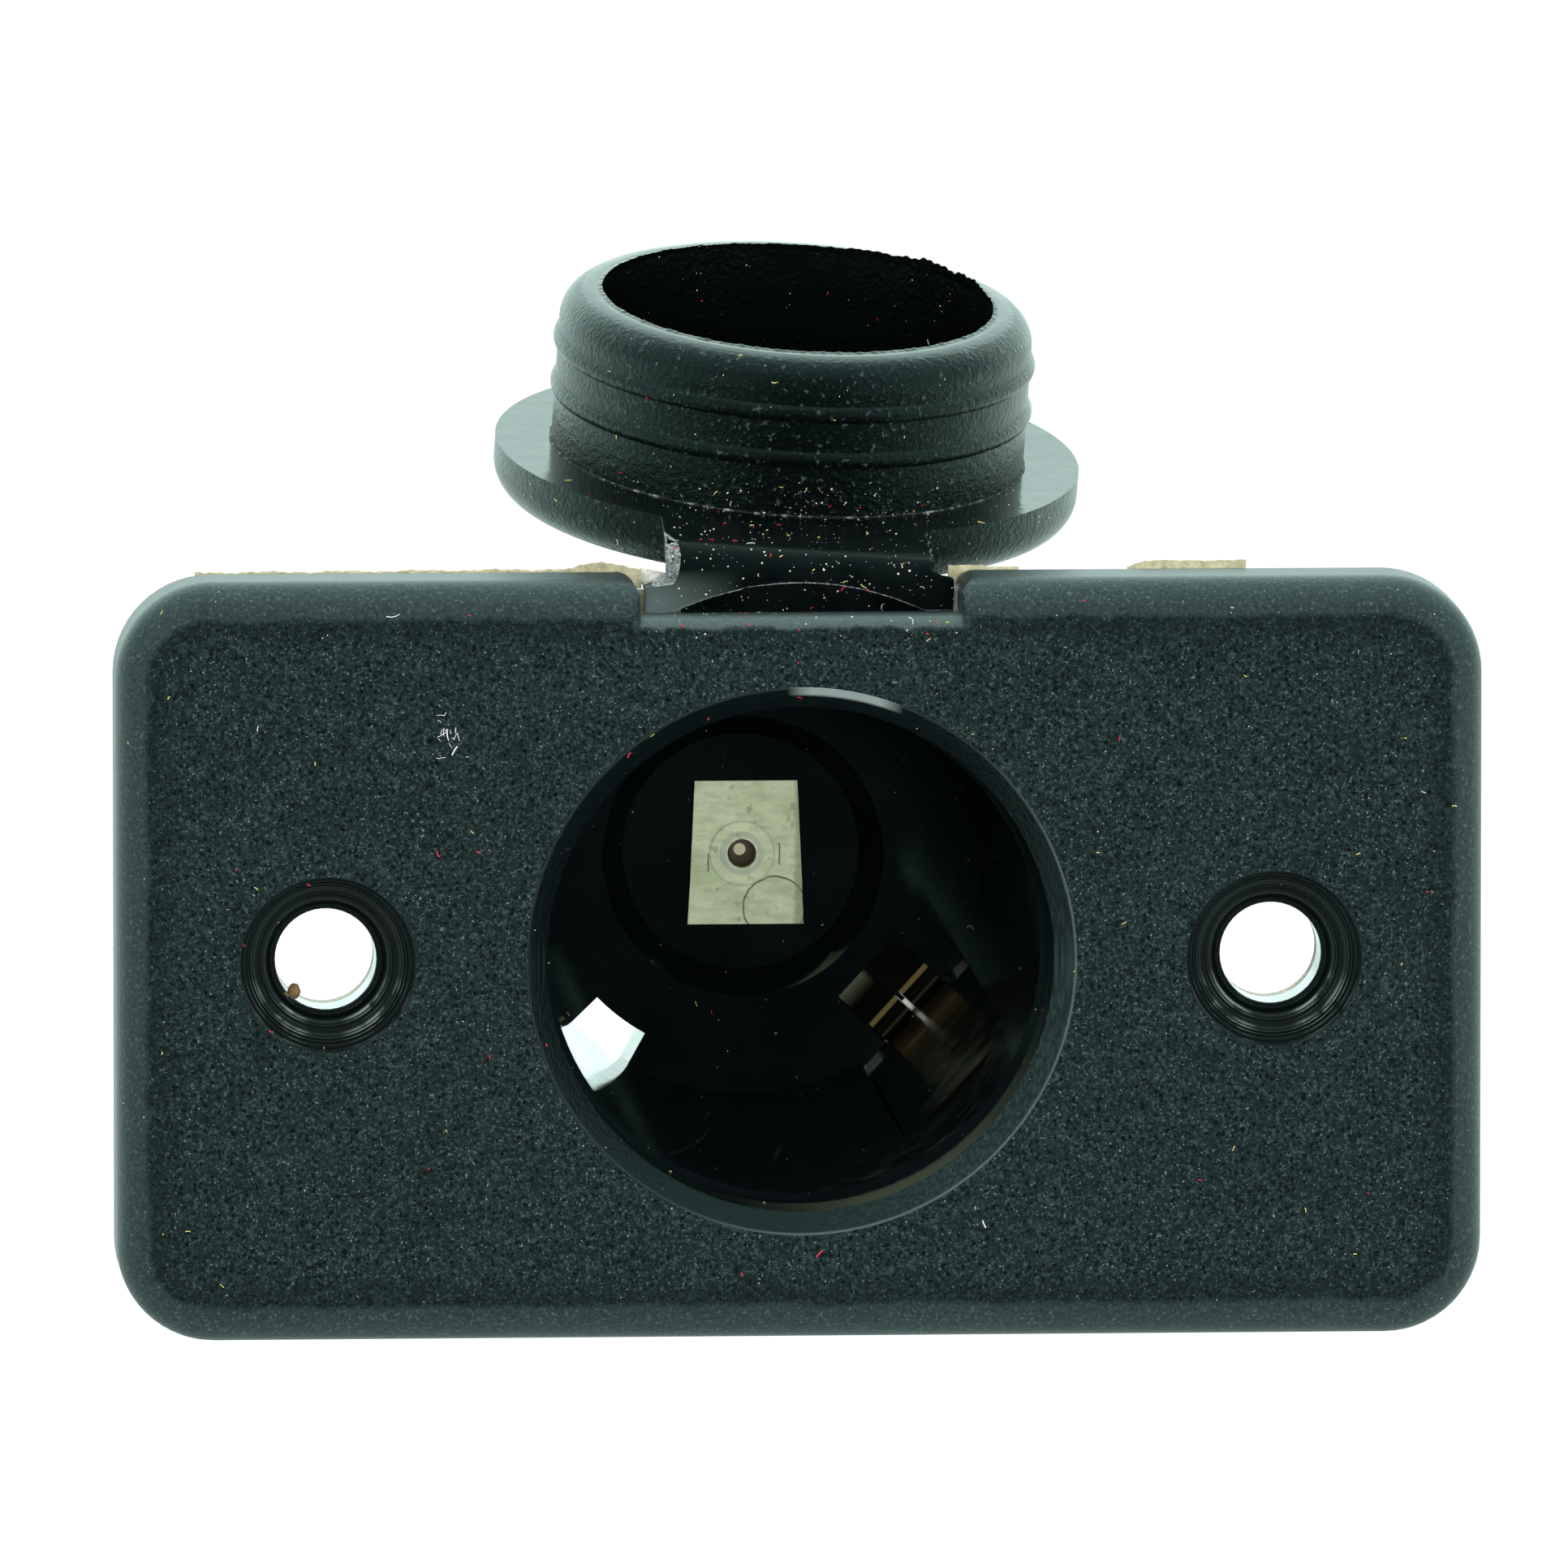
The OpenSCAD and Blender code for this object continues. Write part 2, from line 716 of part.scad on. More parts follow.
module ground_contact() {
    tip_y = face_y + ground_from;
    ear_y = ground_foot_y + blade_t + seat_gap;
    color([0.75, 0.77, 0.72]) at_ground() {
        translate([ground_x, tip_y, -ground_w / 2]) {
            cube([strip_t, shoulder_y - tip_y, ground_w]);
        }
        difference() {
            linear_extrude(height = foot_w, center = true) {
                translate([ground_x - foot_len, strip_foot_y]) square([foot_len - foot_bend_r, strip_t]);
                translate([ground_x, shoulder_y - over]) square([strip_t, over]);
                translate([ground_x - foot_bend_r, shoulder_y]) intersection() {
                    difference() {
                        circle(foot_bend_r + strip_t);
                        circle(foot_bend_r);
                    }
                    square(foot_bend_r + strip_t);
                }
            }
            translate([ground_x - foot_len - over, strip_foot_y - strip_t, -foot_slit / 2]) {
                cube([foot_len - foot_bend_r + over, 3 * strip_t, foot_slit]);
            }
        }
        for (side = [0, 1]) mirror([0, 0, side]) {
            translate([ground_x, shoulder_y - over, ground_w / 2 - ground_ear_w]) {
                cube([strip_t, ear_y + strip_t - shoulder_y + over, ground_ear_w]);
            }
            translate([ground_x - 2 * strip_t, ear_y, ground_w / 2 - ground_ear_w]) {
                cube([3 * strip_t, strip_t, ground_ear_w]);
            }
        }
    }
}

module ground_terminal() {
    reach = ground_x + 3 * strip_t - ground_blade_at;
    color([0.72, 0.62, 0.34]) at_ground() difference() {
        translate([ground_blade_at, 0, 0]) {
            difference() {
                folded_blade(ground_foot_y, reach);
                blade_hole();
            }
        }
        for (side = [0, 1]) mirror([0, 0, side]) {
            translate([ground_x - seat_gap, end_y, ground_w / 2 - ground_ear_w - seat_gap]) {
                cube([strip_t + 2 * seat_gap, 2 * blade_t, ground_ear_w + 2 * seat_gap]);
            }
        }
    }
}

faceplate();
socket_barrel();
strap_ring();
plug_cap();
foam_gasket();
gasket_liner();
centre_contact();
centre_rivet();
centre_washer();
centre_terminal();
ground_contact();
ground_terminal();
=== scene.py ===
# Looks of the surface-mounted 12 V socket with its open plug cap.
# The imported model's frame is in metres: +X right, +Y back through the panel, +Z up.
# Added pieces are worked out in millimetres, and mesh_piece turns them into metres.
import math
import random

import bpy
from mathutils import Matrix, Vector
from mathutils.bvhtree import BVHTree


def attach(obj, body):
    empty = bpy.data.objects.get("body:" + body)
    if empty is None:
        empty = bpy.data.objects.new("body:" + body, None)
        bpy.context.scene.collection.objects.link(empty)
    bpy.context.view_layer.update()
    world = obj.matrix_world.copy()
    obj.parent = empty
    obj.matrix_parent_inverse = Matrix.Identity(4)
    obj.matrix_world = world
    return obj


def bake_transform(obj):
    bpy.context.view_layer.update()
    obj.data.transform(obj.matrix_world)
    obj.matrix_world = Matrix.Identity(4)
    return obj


MM = 0.001
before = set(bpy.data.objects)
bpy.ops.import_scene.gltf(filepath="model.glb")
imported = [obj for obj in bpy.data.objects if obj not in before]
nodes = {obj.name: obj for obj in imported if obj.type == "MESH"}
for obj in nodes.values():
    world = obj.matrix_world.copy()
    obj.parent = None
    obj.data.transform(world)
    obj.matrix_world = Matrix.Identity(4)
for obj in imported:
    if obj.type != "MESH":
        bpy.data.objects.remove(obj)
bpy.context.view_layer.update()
scene = bpy.context.scene

# The photograph's view: long lens, a little from the left and above
FORWARD = Vector((0.062, 1, -0.1075)).normalized()
RIGHT = FORWARD.cross(Vector((0, 0, 1))).normalized()
UP = RIGHT.cross(FORWARD)
DISTANCE = 1.2
SENSOR_WIDTH = 36
FRAME_WIDTH = 67.79 * MM
FRAME_PIXELS = 1932
FACE_Y = -5.8
AIM_LEFT = 0.772
AIM_UP = 7.684
AIM = Vector((0, FACE_Y, 0)) * MM - RIGHT * AIM_LEFT * MM + UP * AIM_UP * MM
EYE = AIM - FORWARD * DISTANCE
FLOOR_Z = -0.06
ROOM_TINT = (0.80, 1.0, 0.955)
BLACK_TINT = (0.62, 1.0, 0.93)

# The plate, in millimetres: its mouth, its countersinks, the flat front's corners and the strap's notch
MOUTH_R = 11.93
SCREW_X = 20.5
COUNTERSINK_R = 3.82
FLAT_X = 25.6
FLAT_Z = 12.25
NOTCH_HALF = 7.3
LEDGE_HALF = 6.96
LEDGE_LOW = 14.62
LEDGE_HIGH = 14.85

# The contact plate, in millimetres: the punch's arc, each stake mark's middle and half length, and the rivet
PUNCH_X = 1.49
PUNCH_Z = -2.47
PUNCH_R = 1.48
STAKES = ((-1.43, -0.43, 0.4), (1.77, -0.04, 0.5))
RIVET_HEAD_R = 1.45
RIVET_R = 0.86
RIVET_HOLLOW_R = 0.64

# The ground strip lies at this angle round the socket's axis
GROUND_ANGLE = math.radians(-42.4)

# The open cap, in millimetres: the centre of its inner face, its directions and the sizes of its skirt
CAP_CENTRE = Vector((0.425, 11.398, 20.582))
CAP_AXIS = Vector((0.0568, -0.1870, 0.9807)).normalized()
CAP_RIGHT = Vector((0.9981, -0.0138, -0.0605)).normalized()
CAP_FAR = CAP_AXIS.cross(CAP_RIGHT)
SKIRT_IN = 8.65
SKIRT_OUT = 10.4
SKIRT_TALL = 6.9


# Node helpers


class Nodes:
    """Adds nodes to a material or world and joins them up."""

    def __init__(self, owner):
        owner.use_nodes = True
        self.owner = owner
        self.tree = owner.node_tree
        self.tree.nodes.clear()

    def add(self, kind, inputs=None, **settings):
        node = self.tree.nodes.new(kind)
        for key, value in settings.items():
            setattr(node, key, value)
        for key, value in (inputs or {}).items():
            self.set(node.inputs[key], value)
        return node

    def set(self, socket, value):
        """Links a socket to another, or gives it a number, a vector or a colour of three parts."""
        if isinstance(value, bpy.types.NodeSocket):
            self.tree.links.new(value, socket)
        elif socket.type == "RGBA":
            socket.default_value = (*value, 1.0)
        else:
            socket.default_value = value

    def math(self, operation, a, b=0.5, c=None):
        node = self.add("ShaderNodeMath", {0: a, 1: b}, operation=operation)
        if c is not None:
            self.set(node.inputs[2], c)
        return node.outputs[0]

    def times(self, first, *others):
        """All values multiplied."""
        for other in others:
            first = self.math("MULTIPLY", first, other)
        return first

    def most(self, first, *others):
        """The largest value."""
        for other in others:
            first = self.math("MAXIMUM", first, other)
        return first

    def reach(self, a, b):
        """Distance of a point that is a across and b up."""
        return self.math("SQRT", self.math("ADD", self.times(a, a), self.times(b, b)))

    def noise(self, where, scale, detail=2.0, rough=0.5):
        inputs = {"Vector": where, "Scale": scale, "Detail": detail, "Roughness": rough}
        return self.add("ShaderNodeTexNoise", inputs).outputs["Fac"]

    def span(self, value, lo, hi, to_lo=0.0, to_hi=1.0):
        """Carries lo to hi over onto to_lo to to_hi, and holds both ends."""
        inputs = {0: value, 1: lo, 2: hi, 3: to_lo, 4: to_hi}
        return self.add("ShaderNodeMapRange", inputs, clamp=True).outputs[0]

    def line(self, distance, half, solid):
        """A line with a half width in millimetres: 1 over its solid share, falling to 0 at its edge."""
        return self.span(self.math("ABSOLUTE", distance), solid * half * MM, half * MM, 1.0, 0.0)

    def between(self, factor, a, b):
        """A number from a to b."""
        return self.add("ShaderNodeMix", {0: factor, 2: a, 3: b}).outputs[0]

    def mix(self, factor, a, b):
        """A colour from a to b."""
        return self.add("ShaderNodeMix", {0: factor, 6: a, 7: b}, data_type="RGBA").outputs[2]

    def place(self):
        """Metres in the piece's own frame."""
        return self.add("ShaderNodeTexCoord").outputs["Object"]

    def split(self, vector):
        return self.add("ShaderNodeSeparateXYZ", {0: vector}).outputs

    def join(self, x=0.0, y=0.0, z=0.0):
        return self.add("ShaderNodeCombineXYZ", {0: x, 1: y, 2: z}).outputs[0]

    def stretched(self, where, scale):
        return self.add("ShaderNodeMapping", {"Vector": where, "Scale": scale}).outputs[0]

    def dot(self, vector, direction):
        node = self.add("ShaderNodeVectorMath", {0: vector, 1: direction}, operation="DOT_PRODUCT")
        return node.outputs["Value"]

    def specks(self, where, cells_per_m, share, size):
        """1 in small round specks: share of the cells hold one, of up to size cells across."""
        cell = self.add("ShaderNodeTexVoronoi", {"Vector": where, "Scale": cells_per_m, "Randomness": 1.0})
        pick = self.split(cell.outputs["Color"])
        chosen = self.math("LESS_THAN", pick[0], share)
        inside = self.math("LESS_THAN", cell.outputs["Distance"], self.times(pick[1], size))
        return self.times(chosen, inside)


def finish_material(n, base, rough, height=None, distance=0.02, metallic=0.0, specular=0.5, strength=1.0,
                    tint=(1.0, 1.0, 1.0)):
    """Adds the shader, with a bump of distance millimetres if there is a height. Returns the material."""
    shader = n.add("ShaderNodeBsdfPrincipled", {"Base Color": base, "Roughness": rough, "Metallic": metallic})
    n.set(shader.inputs["Specular Tint"], tint)
    n.set(shader.inputs["Specular IOR Level"], specular)
    if height is not None:
        bump = n.add("ShaderNodeBump", {"Height": height, "Distance": distance * MM, "Strength": strength})
        n.set(shader.inputs["Normal"], bump.outputs[0])
    n.set(n.add("ShaderNodeOutputMaterial").inputs[0], shader.outputs[0])
    return n.owner


# The plate's material, from its grain, its rounded edges, its countersinks and the flare of its mouth


def grain_ridges(n, where):
    """1 on the ridges of the grain, 0 in its pits, which have two sizes and uneven edges."""
    waver = n.add("ShaderNodeTexNoise", {"Vector": where, "Scale": 5600.0, "Detail": 2.0})
    push = {0: waver.outputs["Color"], 1: (0.26 * MM,) * 3, 2: where}
    bent = n.add("ShaderNodeVectorMath", push, operation="MULTIPLY_ADD").outputs[0]

    def pits(cells_per_m, deep, shallow):
        cell = n.add("ShaderNodeTexVoronoi", {"Vector": bent, "Scale": cells_per_m})
        uneven = n.math("MULTIPLY_ADD", n.split(cell.outputs["Color"])[0], 0.2, cell.outputs["Distance"])
        return n.span(uneven, deep, shallow)

    coarse = n.noise(where, 5200, 4, 0.66)
    return n.times(pits(3700.0, 0.26, 0.50), pits(6400.0, 0.20, 0.42), n.span(coarse, 0.34, 0.46, 0.35, 1.0))


def grain_colour(n, where, ridge, border):
    """Black pits, patchy ridges with fine pale ones among them, painted glints on the ridges, and painted
    shade along the grain's border.
    """
    patchy = n.span(n.noise(where, 420, 3), 0.3, 0.7)
    fine = n.span(n.noise(where, 7000, 3, 0.6), 0.5, 0.64)
    painted_grain_glint = n.span(n.noise(where, 9600, 2), 0.665, 0.72)
    colour = n.mix(patchy, (0.0058, 0.0108, 0.0116), (0.0082, 0.0143, 0.0152))
    colour = n.mix(fine, colour, (0.026, 0.042, 0.044))
    colour = n.mix(ridge, (0.0006, 0.0014, 0.0018), colour)
    # Painted glints: highlights painted on the ridges
    colour = n.mix(n.times(painted_grain_glint, ridge), colour, (0.15, 0.19, 0.185))
    # Painted shade: the grain is painted darker along its border, near where the front rounds off
    return n.mix(n.span(border, 1.5 * MM, 2.5 * MM, 0.0, 0.45), colour, (0.002, 0.004, 0.004))


def rounded_colour(n, satin, ledge):
    """Satin speckle on the rounded edges with painted glints, and painted light making the notch's upward
    ledge paler.
    """
    colour = n.mix(n.span(satin, 0.35, 0.66), (0.0105, 0.0180, 0.0180), (0.0240, 0.0370, 0.0360))
    # Painted glints on the brightest speckle
    colour = n.mix(n.times(n.span(satin, 0.60, 0.70), 0.5), colour, (0.10, 0.13, 0.126))
    # Painted light: the ledge's top face is painted paler
    return n.mix(n.times(ledge, n.span(satin, 0.3, 0.6, 0.6)), colour, (0.052, 0.075, 0.072))


def countersink_colour(n, where, z, side, sink):
    """Black with turned rings, and painted highlights on the rings at both sides below."""
    below = n.times(n.span(z, -0.6 * MM, -2.0 * MM), n.span(n.math("ABSOLUTE", side), 0.6 * MM, 1.5 * MM))
    circle = n.noise(n.join(sink), 4200, 3, 0.7)
    smudge = n.noise(where, 1100, 2)
    # Painted highlights: the rings are painted bright at both sides below
    painted_arcs = n.times(n.span(circle, 0.50, 0.60), below, n.span(smudge, 0.40, 0.56))
    colour = n.mix(n.span(circle, 0.44, 0.62), (0.0016, 0.0030, 0.0030), (0.020, 0.028, 0.028))
    return n.mix(painted_arcs, colour, (0.20, 0.25, 0.24))


def flare_colour(n, where, x, z, mouth, rings):
    """Nearly black, with painted grey reflections in streaks at the lower right, a painted lit arc at the top
    and a pale outer edge that is a painted highlight.
    """
    toward = n.math("DIVIDE", n.dot(where, (0.83, 0, -0.55)), mouth)
    # Painted reflection: grey streaks toward the lower right
    painted_streaks = n.mix(n.span(rings, 0.42, 0.64), (0.002, 0.0040, 0.0045), (0.013, 0.021, 0.022))
    colour = n.mix(n.span(toward, 0.5, 0.97), (0.0016, 0.0030, 0.0034), painted_streaks)
    middle = n.times(n.span(x, -0.6 * MM, 0.4 * MM), n.span(x, 4.4 * MM, 3.4 * MM))
    # Painted light: a lit arc at the top
    lit = n.times(middle, n.math("GREATER_THAN", z, 0.0), n.span(mouth, 11.5 * MM, 11.62 * MM))
    colour = n.mix(lit, colour, (0.20, 0.25, 0.24))
    # Painted highlight: the outer edge is painted pale, most toward the lower right
    edge = n.times(n.span(mouth, 11.80 * MM, 11.86 * MM), n.span(toward, 0.1, 0.6, 0.15, 0.6))
    return n.mix(edge, colour, (0.085, 0.115, 0.110))


def grained_plastic():
    """Pitted grain on the flat front and satin rounded edges. Mouth and countersinks are turned and shiny."""
    n = Nodes(bpy.data.materials.new("grained_plastic"))
    where = n.place()
    x, y, z = n.split(where)
    across = n.math("ABSOLUTE", x)
    side = n.math("SUBTRACT", across, SCREW_X * MM)
    mouth = n.reach(x, z)
    sink = n.reach(side, z)
    turned_mouth = n.math("LESS_THAN", mouth, MOUTH_R * MM)
    turned_sink = n.math("LESS_THAN", sink, COUNTERSINK_R * MM)
    turned = n.most(turned_mouth, turned_sink)

    # The grain stops short of the rounded edges and the notch, along an uneven border
    over_x = n.most(n.math("SUBTRACT", across, FLAT_X * MM), 0.0)
    over_z = n.most(n.math("SUBTRACT", n.math("ABSOLUTE", z), FLAT_Z * MM), 0.0)
    border = n.math("ADD", n.reach(over_x, over_z), n.times(n.noise(where, 900, 3), 0.5 * MM))
    level = n.math("MULTIPLY_ADD", n.noise(where, 1300, 3), 0.5 * MM, z)
    high = n.span(level, LEDGE_LOW * MM, LEDGE_HIGH * MM)
    notch = n.times(n.math("LESS_THAN", across, NOTCH_HALF * MM), high)
    ledge = n.times(notch, n.math("LESS_THAN", across, LEDGE_HALF * MM))
    smooth = n.most(n.span(border, 2.8 * MM, 3.1 * MM), notch, turned)

    ridge = grain_ridges(n, where)
    satin = n.noise(where, 6400, 3, 0.62)
    rings = n.noise(n.join(mouth, sink, y), 5200, 2)
    plain = n.between(turned, n.times(satin, 0.30), n.times(rings, 0.12))
    height = n.between(smooth, ridge, plain)
    in_mouth = n.math("LESS_THAN", mouth, (MOUTH_R + 0.07) * MM)
    cone = countersink_colour(n, where, z, side, sink)
    flare = flare_colour(n, where, x, z, mouth, rings)
    base = n.mix(smooth, grain_colour(n, where, ridge, border), rounded_colour(n, satin, ledge))
    base = n.mix(turned, base, n.mix(in_mouth, cone, flare))
    rough = n.between(turned, n.between(smooth, 0.5, 0.42), n.span(in_mouth, 0, 1, 0.14, 0.2))
    return finish_material(n, base, rough, height, 0.1, strength=0.9, tint=BLACK_TINT)


# The other materials


def glossy_plastic():
    """Polished mould finish with fine turning rings and a little dust."""
    n = Nodes(bpy.data.materials.new("glossy_plastic"))
    where = n.place()
    rings = n.noise(n.join(y=n.split(where)[1]), 5200, 3)
    cloud = n.noise(where, 260, 3)
    smear = n.noise(where, 900, 4, 0.6)
    dust = n.specks(where, 800, 0.2, 0.05)
    base = n.mix(n.span(cloud, 0.3, 0.7), (0.0016, 0.0032, 0.0036), (0.0034, 0.0058, 0.0062))
    base = n.mix(n.times(dust, 0.3), base, (0.4, 0.4, 0.36))
    rough = n.span(smear, 0.4, 0.7, 0.05, 0.13)
    return finish_material(n, base, rough, rings, 0.0015, tint=BLACK_TINT)


def cap_rubber():
    """Leathery on the skirt and the flange's edge with painted glints on its crests, smooth on the flange's
    inner face and the strap.
    """
    n = Nodes(bpy.data.materials.new("cap_rubber"))
    coordinates = n.add("ShaderNodeTexCoord").outputs
    where = coordinates["Object"]
    smooth = n.span(n.dot(coordinates["Normal"], CAP_AXIS), 0.9, 0.985)
    grain = n.noise(where, 3900, 3, 0.62)
    rolled = n.noise(where, 900, 2)
    height = n.math("ADD", n.times(grain, n.span(smooth, 0, 1, 1.0, 0.03)), n.times(rolled, 0.25))
    cloud = n.span(n.noise(where, 240, 3), 0.3, 0.7)
    painted_crest_glints = n.times(n.span(grain, 0.60, 0.70), n.span(smooth, 0, 1, 0.6, 0.05))
    base = n.mix(cloud, (0.0006, 0.0012, 0.0014), (0.0015, 0.0028, 0.0030))
    # Painted glints: pale speckle on the grain's crests
    base = n.mix(painted_crest_glints, base, (0.060, 0.080, 0.078))

    # No painted glints in the skirt's hollow
    arm = n.add("ShaderNodeVectorMath", {0: where, 1: CAP_CENTRE * MM}, operation="SUBTRACT").outputs[0]
    length = n.add("ShaderNodeVectorMath", {0: arm}, operation="LENGTH").outputs["Value"]
    up = n.dot(arm, CAP_AXIS)
    radial = n.math("SQRT", n.math("SUBTRACT", n.times(length, length), n.times(up, up)))
    within = n.math("LESS_THAN", radial, (SKIRT_IN + 0.07) * MM)
    hollow = n.times(within, n.math("GREATER_THAN", up, -0.7 * MM))
    base = n.mix(hollow, base, (0.0012, 0.0018, 0.0020))
    rough = n.math("ADD", n.span(smooth, 0, 1, 0.27, 0.15), n.span(cloud, 0, 1, -0.03, 0.05))
    return finish_material(n, base, rough, height, 0.065, tint=BLACK_TINT)


def strap_rubber():
    """Smooth and shiny with faint draw lines, a painted reflection making the left leg pale low down, and
    dust.
    """
    n = Nodes(bpy.data.materials.new("strap_rubber"))
    where = n.place()
    parts = n.split(where)
    lines = n.noise(n.stretched(where, (0.12, 1.0, 1.0)), 2400, 3)
    cloud = n.noise(where, 500, 3)
    low = n.span(parts[2], 15.3 * MM, 16.9 * MM, 1.0, 0.0)
    left = n.span(parts[0], -6.2 * MM, -2.5 * MM, 1.0, 0.0)
    dust = n.specks(where, 1500, 0.35, 0.08)
    base = n.mix(n.span(cloud, 0.3, 0.7), (0.0010, 0.0019, 0.0021), (0.0024, 0.0040, 0.0042))
    # Painted reflection: the left leg is painted pale towards its bottom
    base = n.mix(n.times(low, left), base, (0.110, 0.150, 0.143))
    base = n.mix(n.times(dust, 0.8), base, (0.55, 0.56, 0.5))
    rough = n.span(cloud, 0.3, 0.7, 0.24, 0.36)
    return finish_material(n, base, rough, lines, 0.012, specular=0.2, tint=BLACK_TINT)


def cut_rubber_painted_light():
    """The strap's ragged, trimmed side and the lip of its window, painted pale as a highlight."""
    n = Nodes(bpy.data.materials.new("cut_rubber_painted_light"))
    torn = n.noise(n.place(), 6000, 4, 0.7)
    # Painted highlight: the cut side and the lip are painted pale
    base = n.mix(n.span(torn, 0.40, 0.66), (0.03, 0.042, 0.042), (0.30, 0.35, 0.34))
    return finish_material(n, base, 0.6, torn, 0.08)


def shaded_rubber():
    """The strap's shadowed underside in its window."""
    n = Nodes(bpy.data.materials.new("shaded_rubber"))
    cloud = n.noise(n.place(), 700, 3)
    base = n.mix(n.span(cloud, 0.3, 0.7), (0.0008, 0.0016, 0.0018), (0.0028, 0.0046, 0.0048))
    return finish_material(n, base, 0.4, specular=0.25, tint=BLACK_TINT)


def white_foam():
    n = Nodes(bpy.data.materials.new("white_foam"))
    cells = n.add("ShaderNodeTexVoronoi", {"Vector": n.place(), "Scale": 5500.0}).outputs["Distance"]
    base = n.mix(n.span(cells, 0.1, 0.7), (0.58, 0.62, 0.54), (0.80, 0.84, 0.75))
    return finish_material(n, base, 0.8, cells, 0.06)


def beige_liner():
    n = Nodes(bpy.data.materials.new("beige_liner"))
    fibre = n.noise(n.place(), 2600, 4, 0.7)
    base = n.mix(n.span(fibre, 0.3, 0.7), (0.27, 0.26, 0.15), (0.55, 0.54, 0.37))
    return finish_material(n, base, 0.75, fibre, 0.05)


def plated_contact():
    """Satin tin plate with a punch mark's arc, two stake marks and stains."""
    n = Nodes(bpy.data.materials.new("plated_contact"))
    where = n.place()
    x, y, z = n.split(where)
    rolled = n.noise(n.stretched(where, (1.0, 0.1, 1.0)), 3200, 3)
    streak = n.noise(n.stretched(where, (0.3, 1.0, 1.0)), 2600, 4, 0.7)
    cloud = n.noise(where, 620, 4, 0.6)
    stain = n.span(n.noise(where, 2100, 3), 0.63, 0.72)
    waver = n.times(n.noise(where, 1600, 2), 0.16 * MM)

    punch = n.reach(n.math("SUBTRACT", x, PUNCH_X * MM), n.math("SUBTRACT", z, PUNCH_Z * MM))
    marks = n.line(n.math("SUBTRACT", n.math("ADD", punch, waver), PUNCH_R * MM), 0.05, 0.4)
    for stake_x, stake_z, half in STAKES:
        beside = n.math("ADD", n.math("SUBTRACT", x, stake_x * MM), waver)
        within = n.math("LESS_THAN", n.math("ABSOLUTE", n.math("SUBTRACT", z, stake_z * MM)), half * MM)
        marks = n.most(marks, n.times(n.line(beside, 0.045, 0.4), within))
    base = n.mix(n.span(cloud, 0.35, 0.7), (0.60, 0.72, 0.44), (0.80, 0.88, 0.62))
    base = n.mix(n.span(streak, 0.42, 0.72, 0.0, 0.7), base, (0.40, 0.47, 0.29))
    base = n.mix(n.times(stain, 0.55), base, (0.24, 0.28, 0.20))
    base = n.mix(n.times(marks, 0.85), base, (0.07, 0.06, 0.03))

    # Painted shade along the sheared sides, the faint outline of the rivet's head, a painted shade ring round
    # the rivet, and the hollow painted brown as shade, with its bright floor
    radial = n.reach(x, z)
    shaded_side_reach = n.math("ADD", n.math("ABSOLUTE", x), n.times(waver, 1.6))
    head = n.line(n.math("SUBTRACT", radial, RIVET_HEAD_R * MM), 0.09, 0.4)
    rim = n.line(n.math("SUBTRACT", radial, RIVET_R * MM), 0.16, 0.4)
    # Painted shade: darker towards both sides
    base = n.mix(n.span(shaded_side_reach, 2.42 * MM, 2.62 * MM, 0.0, 0.55), base, (0.20, 0.22, 0.14))
    base = n.mix(n.times(head, 0.22), base, (0.2, 0.2, 0.13))
    # Painted shade: a bluish ring round the rivet
    base = n.mix(n.times(rim, 0.5), base, (0.36, 0.43, 0.42))
    # Painted shade: the hollow is painted brown, with a bright floor
    hollow = n.times(n.math("LESS_THAN", radial, RIVET_HOLLOW_R * MM), n.math("GREATER_THAN", y, 37.4 * MM))
    bright = n.math("LESS_THAN", radial, 0.27 * MM)
    base = n.mix(hollow, base, n.mix(bright, (0.045, 0.025, 0.010), (0.62, 0.60, 0.42)))
    rough = n.span(cloud, 0.3, 0.7, 0.42, 0.55)
    return finish_material(n, base, rough, rolled, 0.01, metallic=0.08)


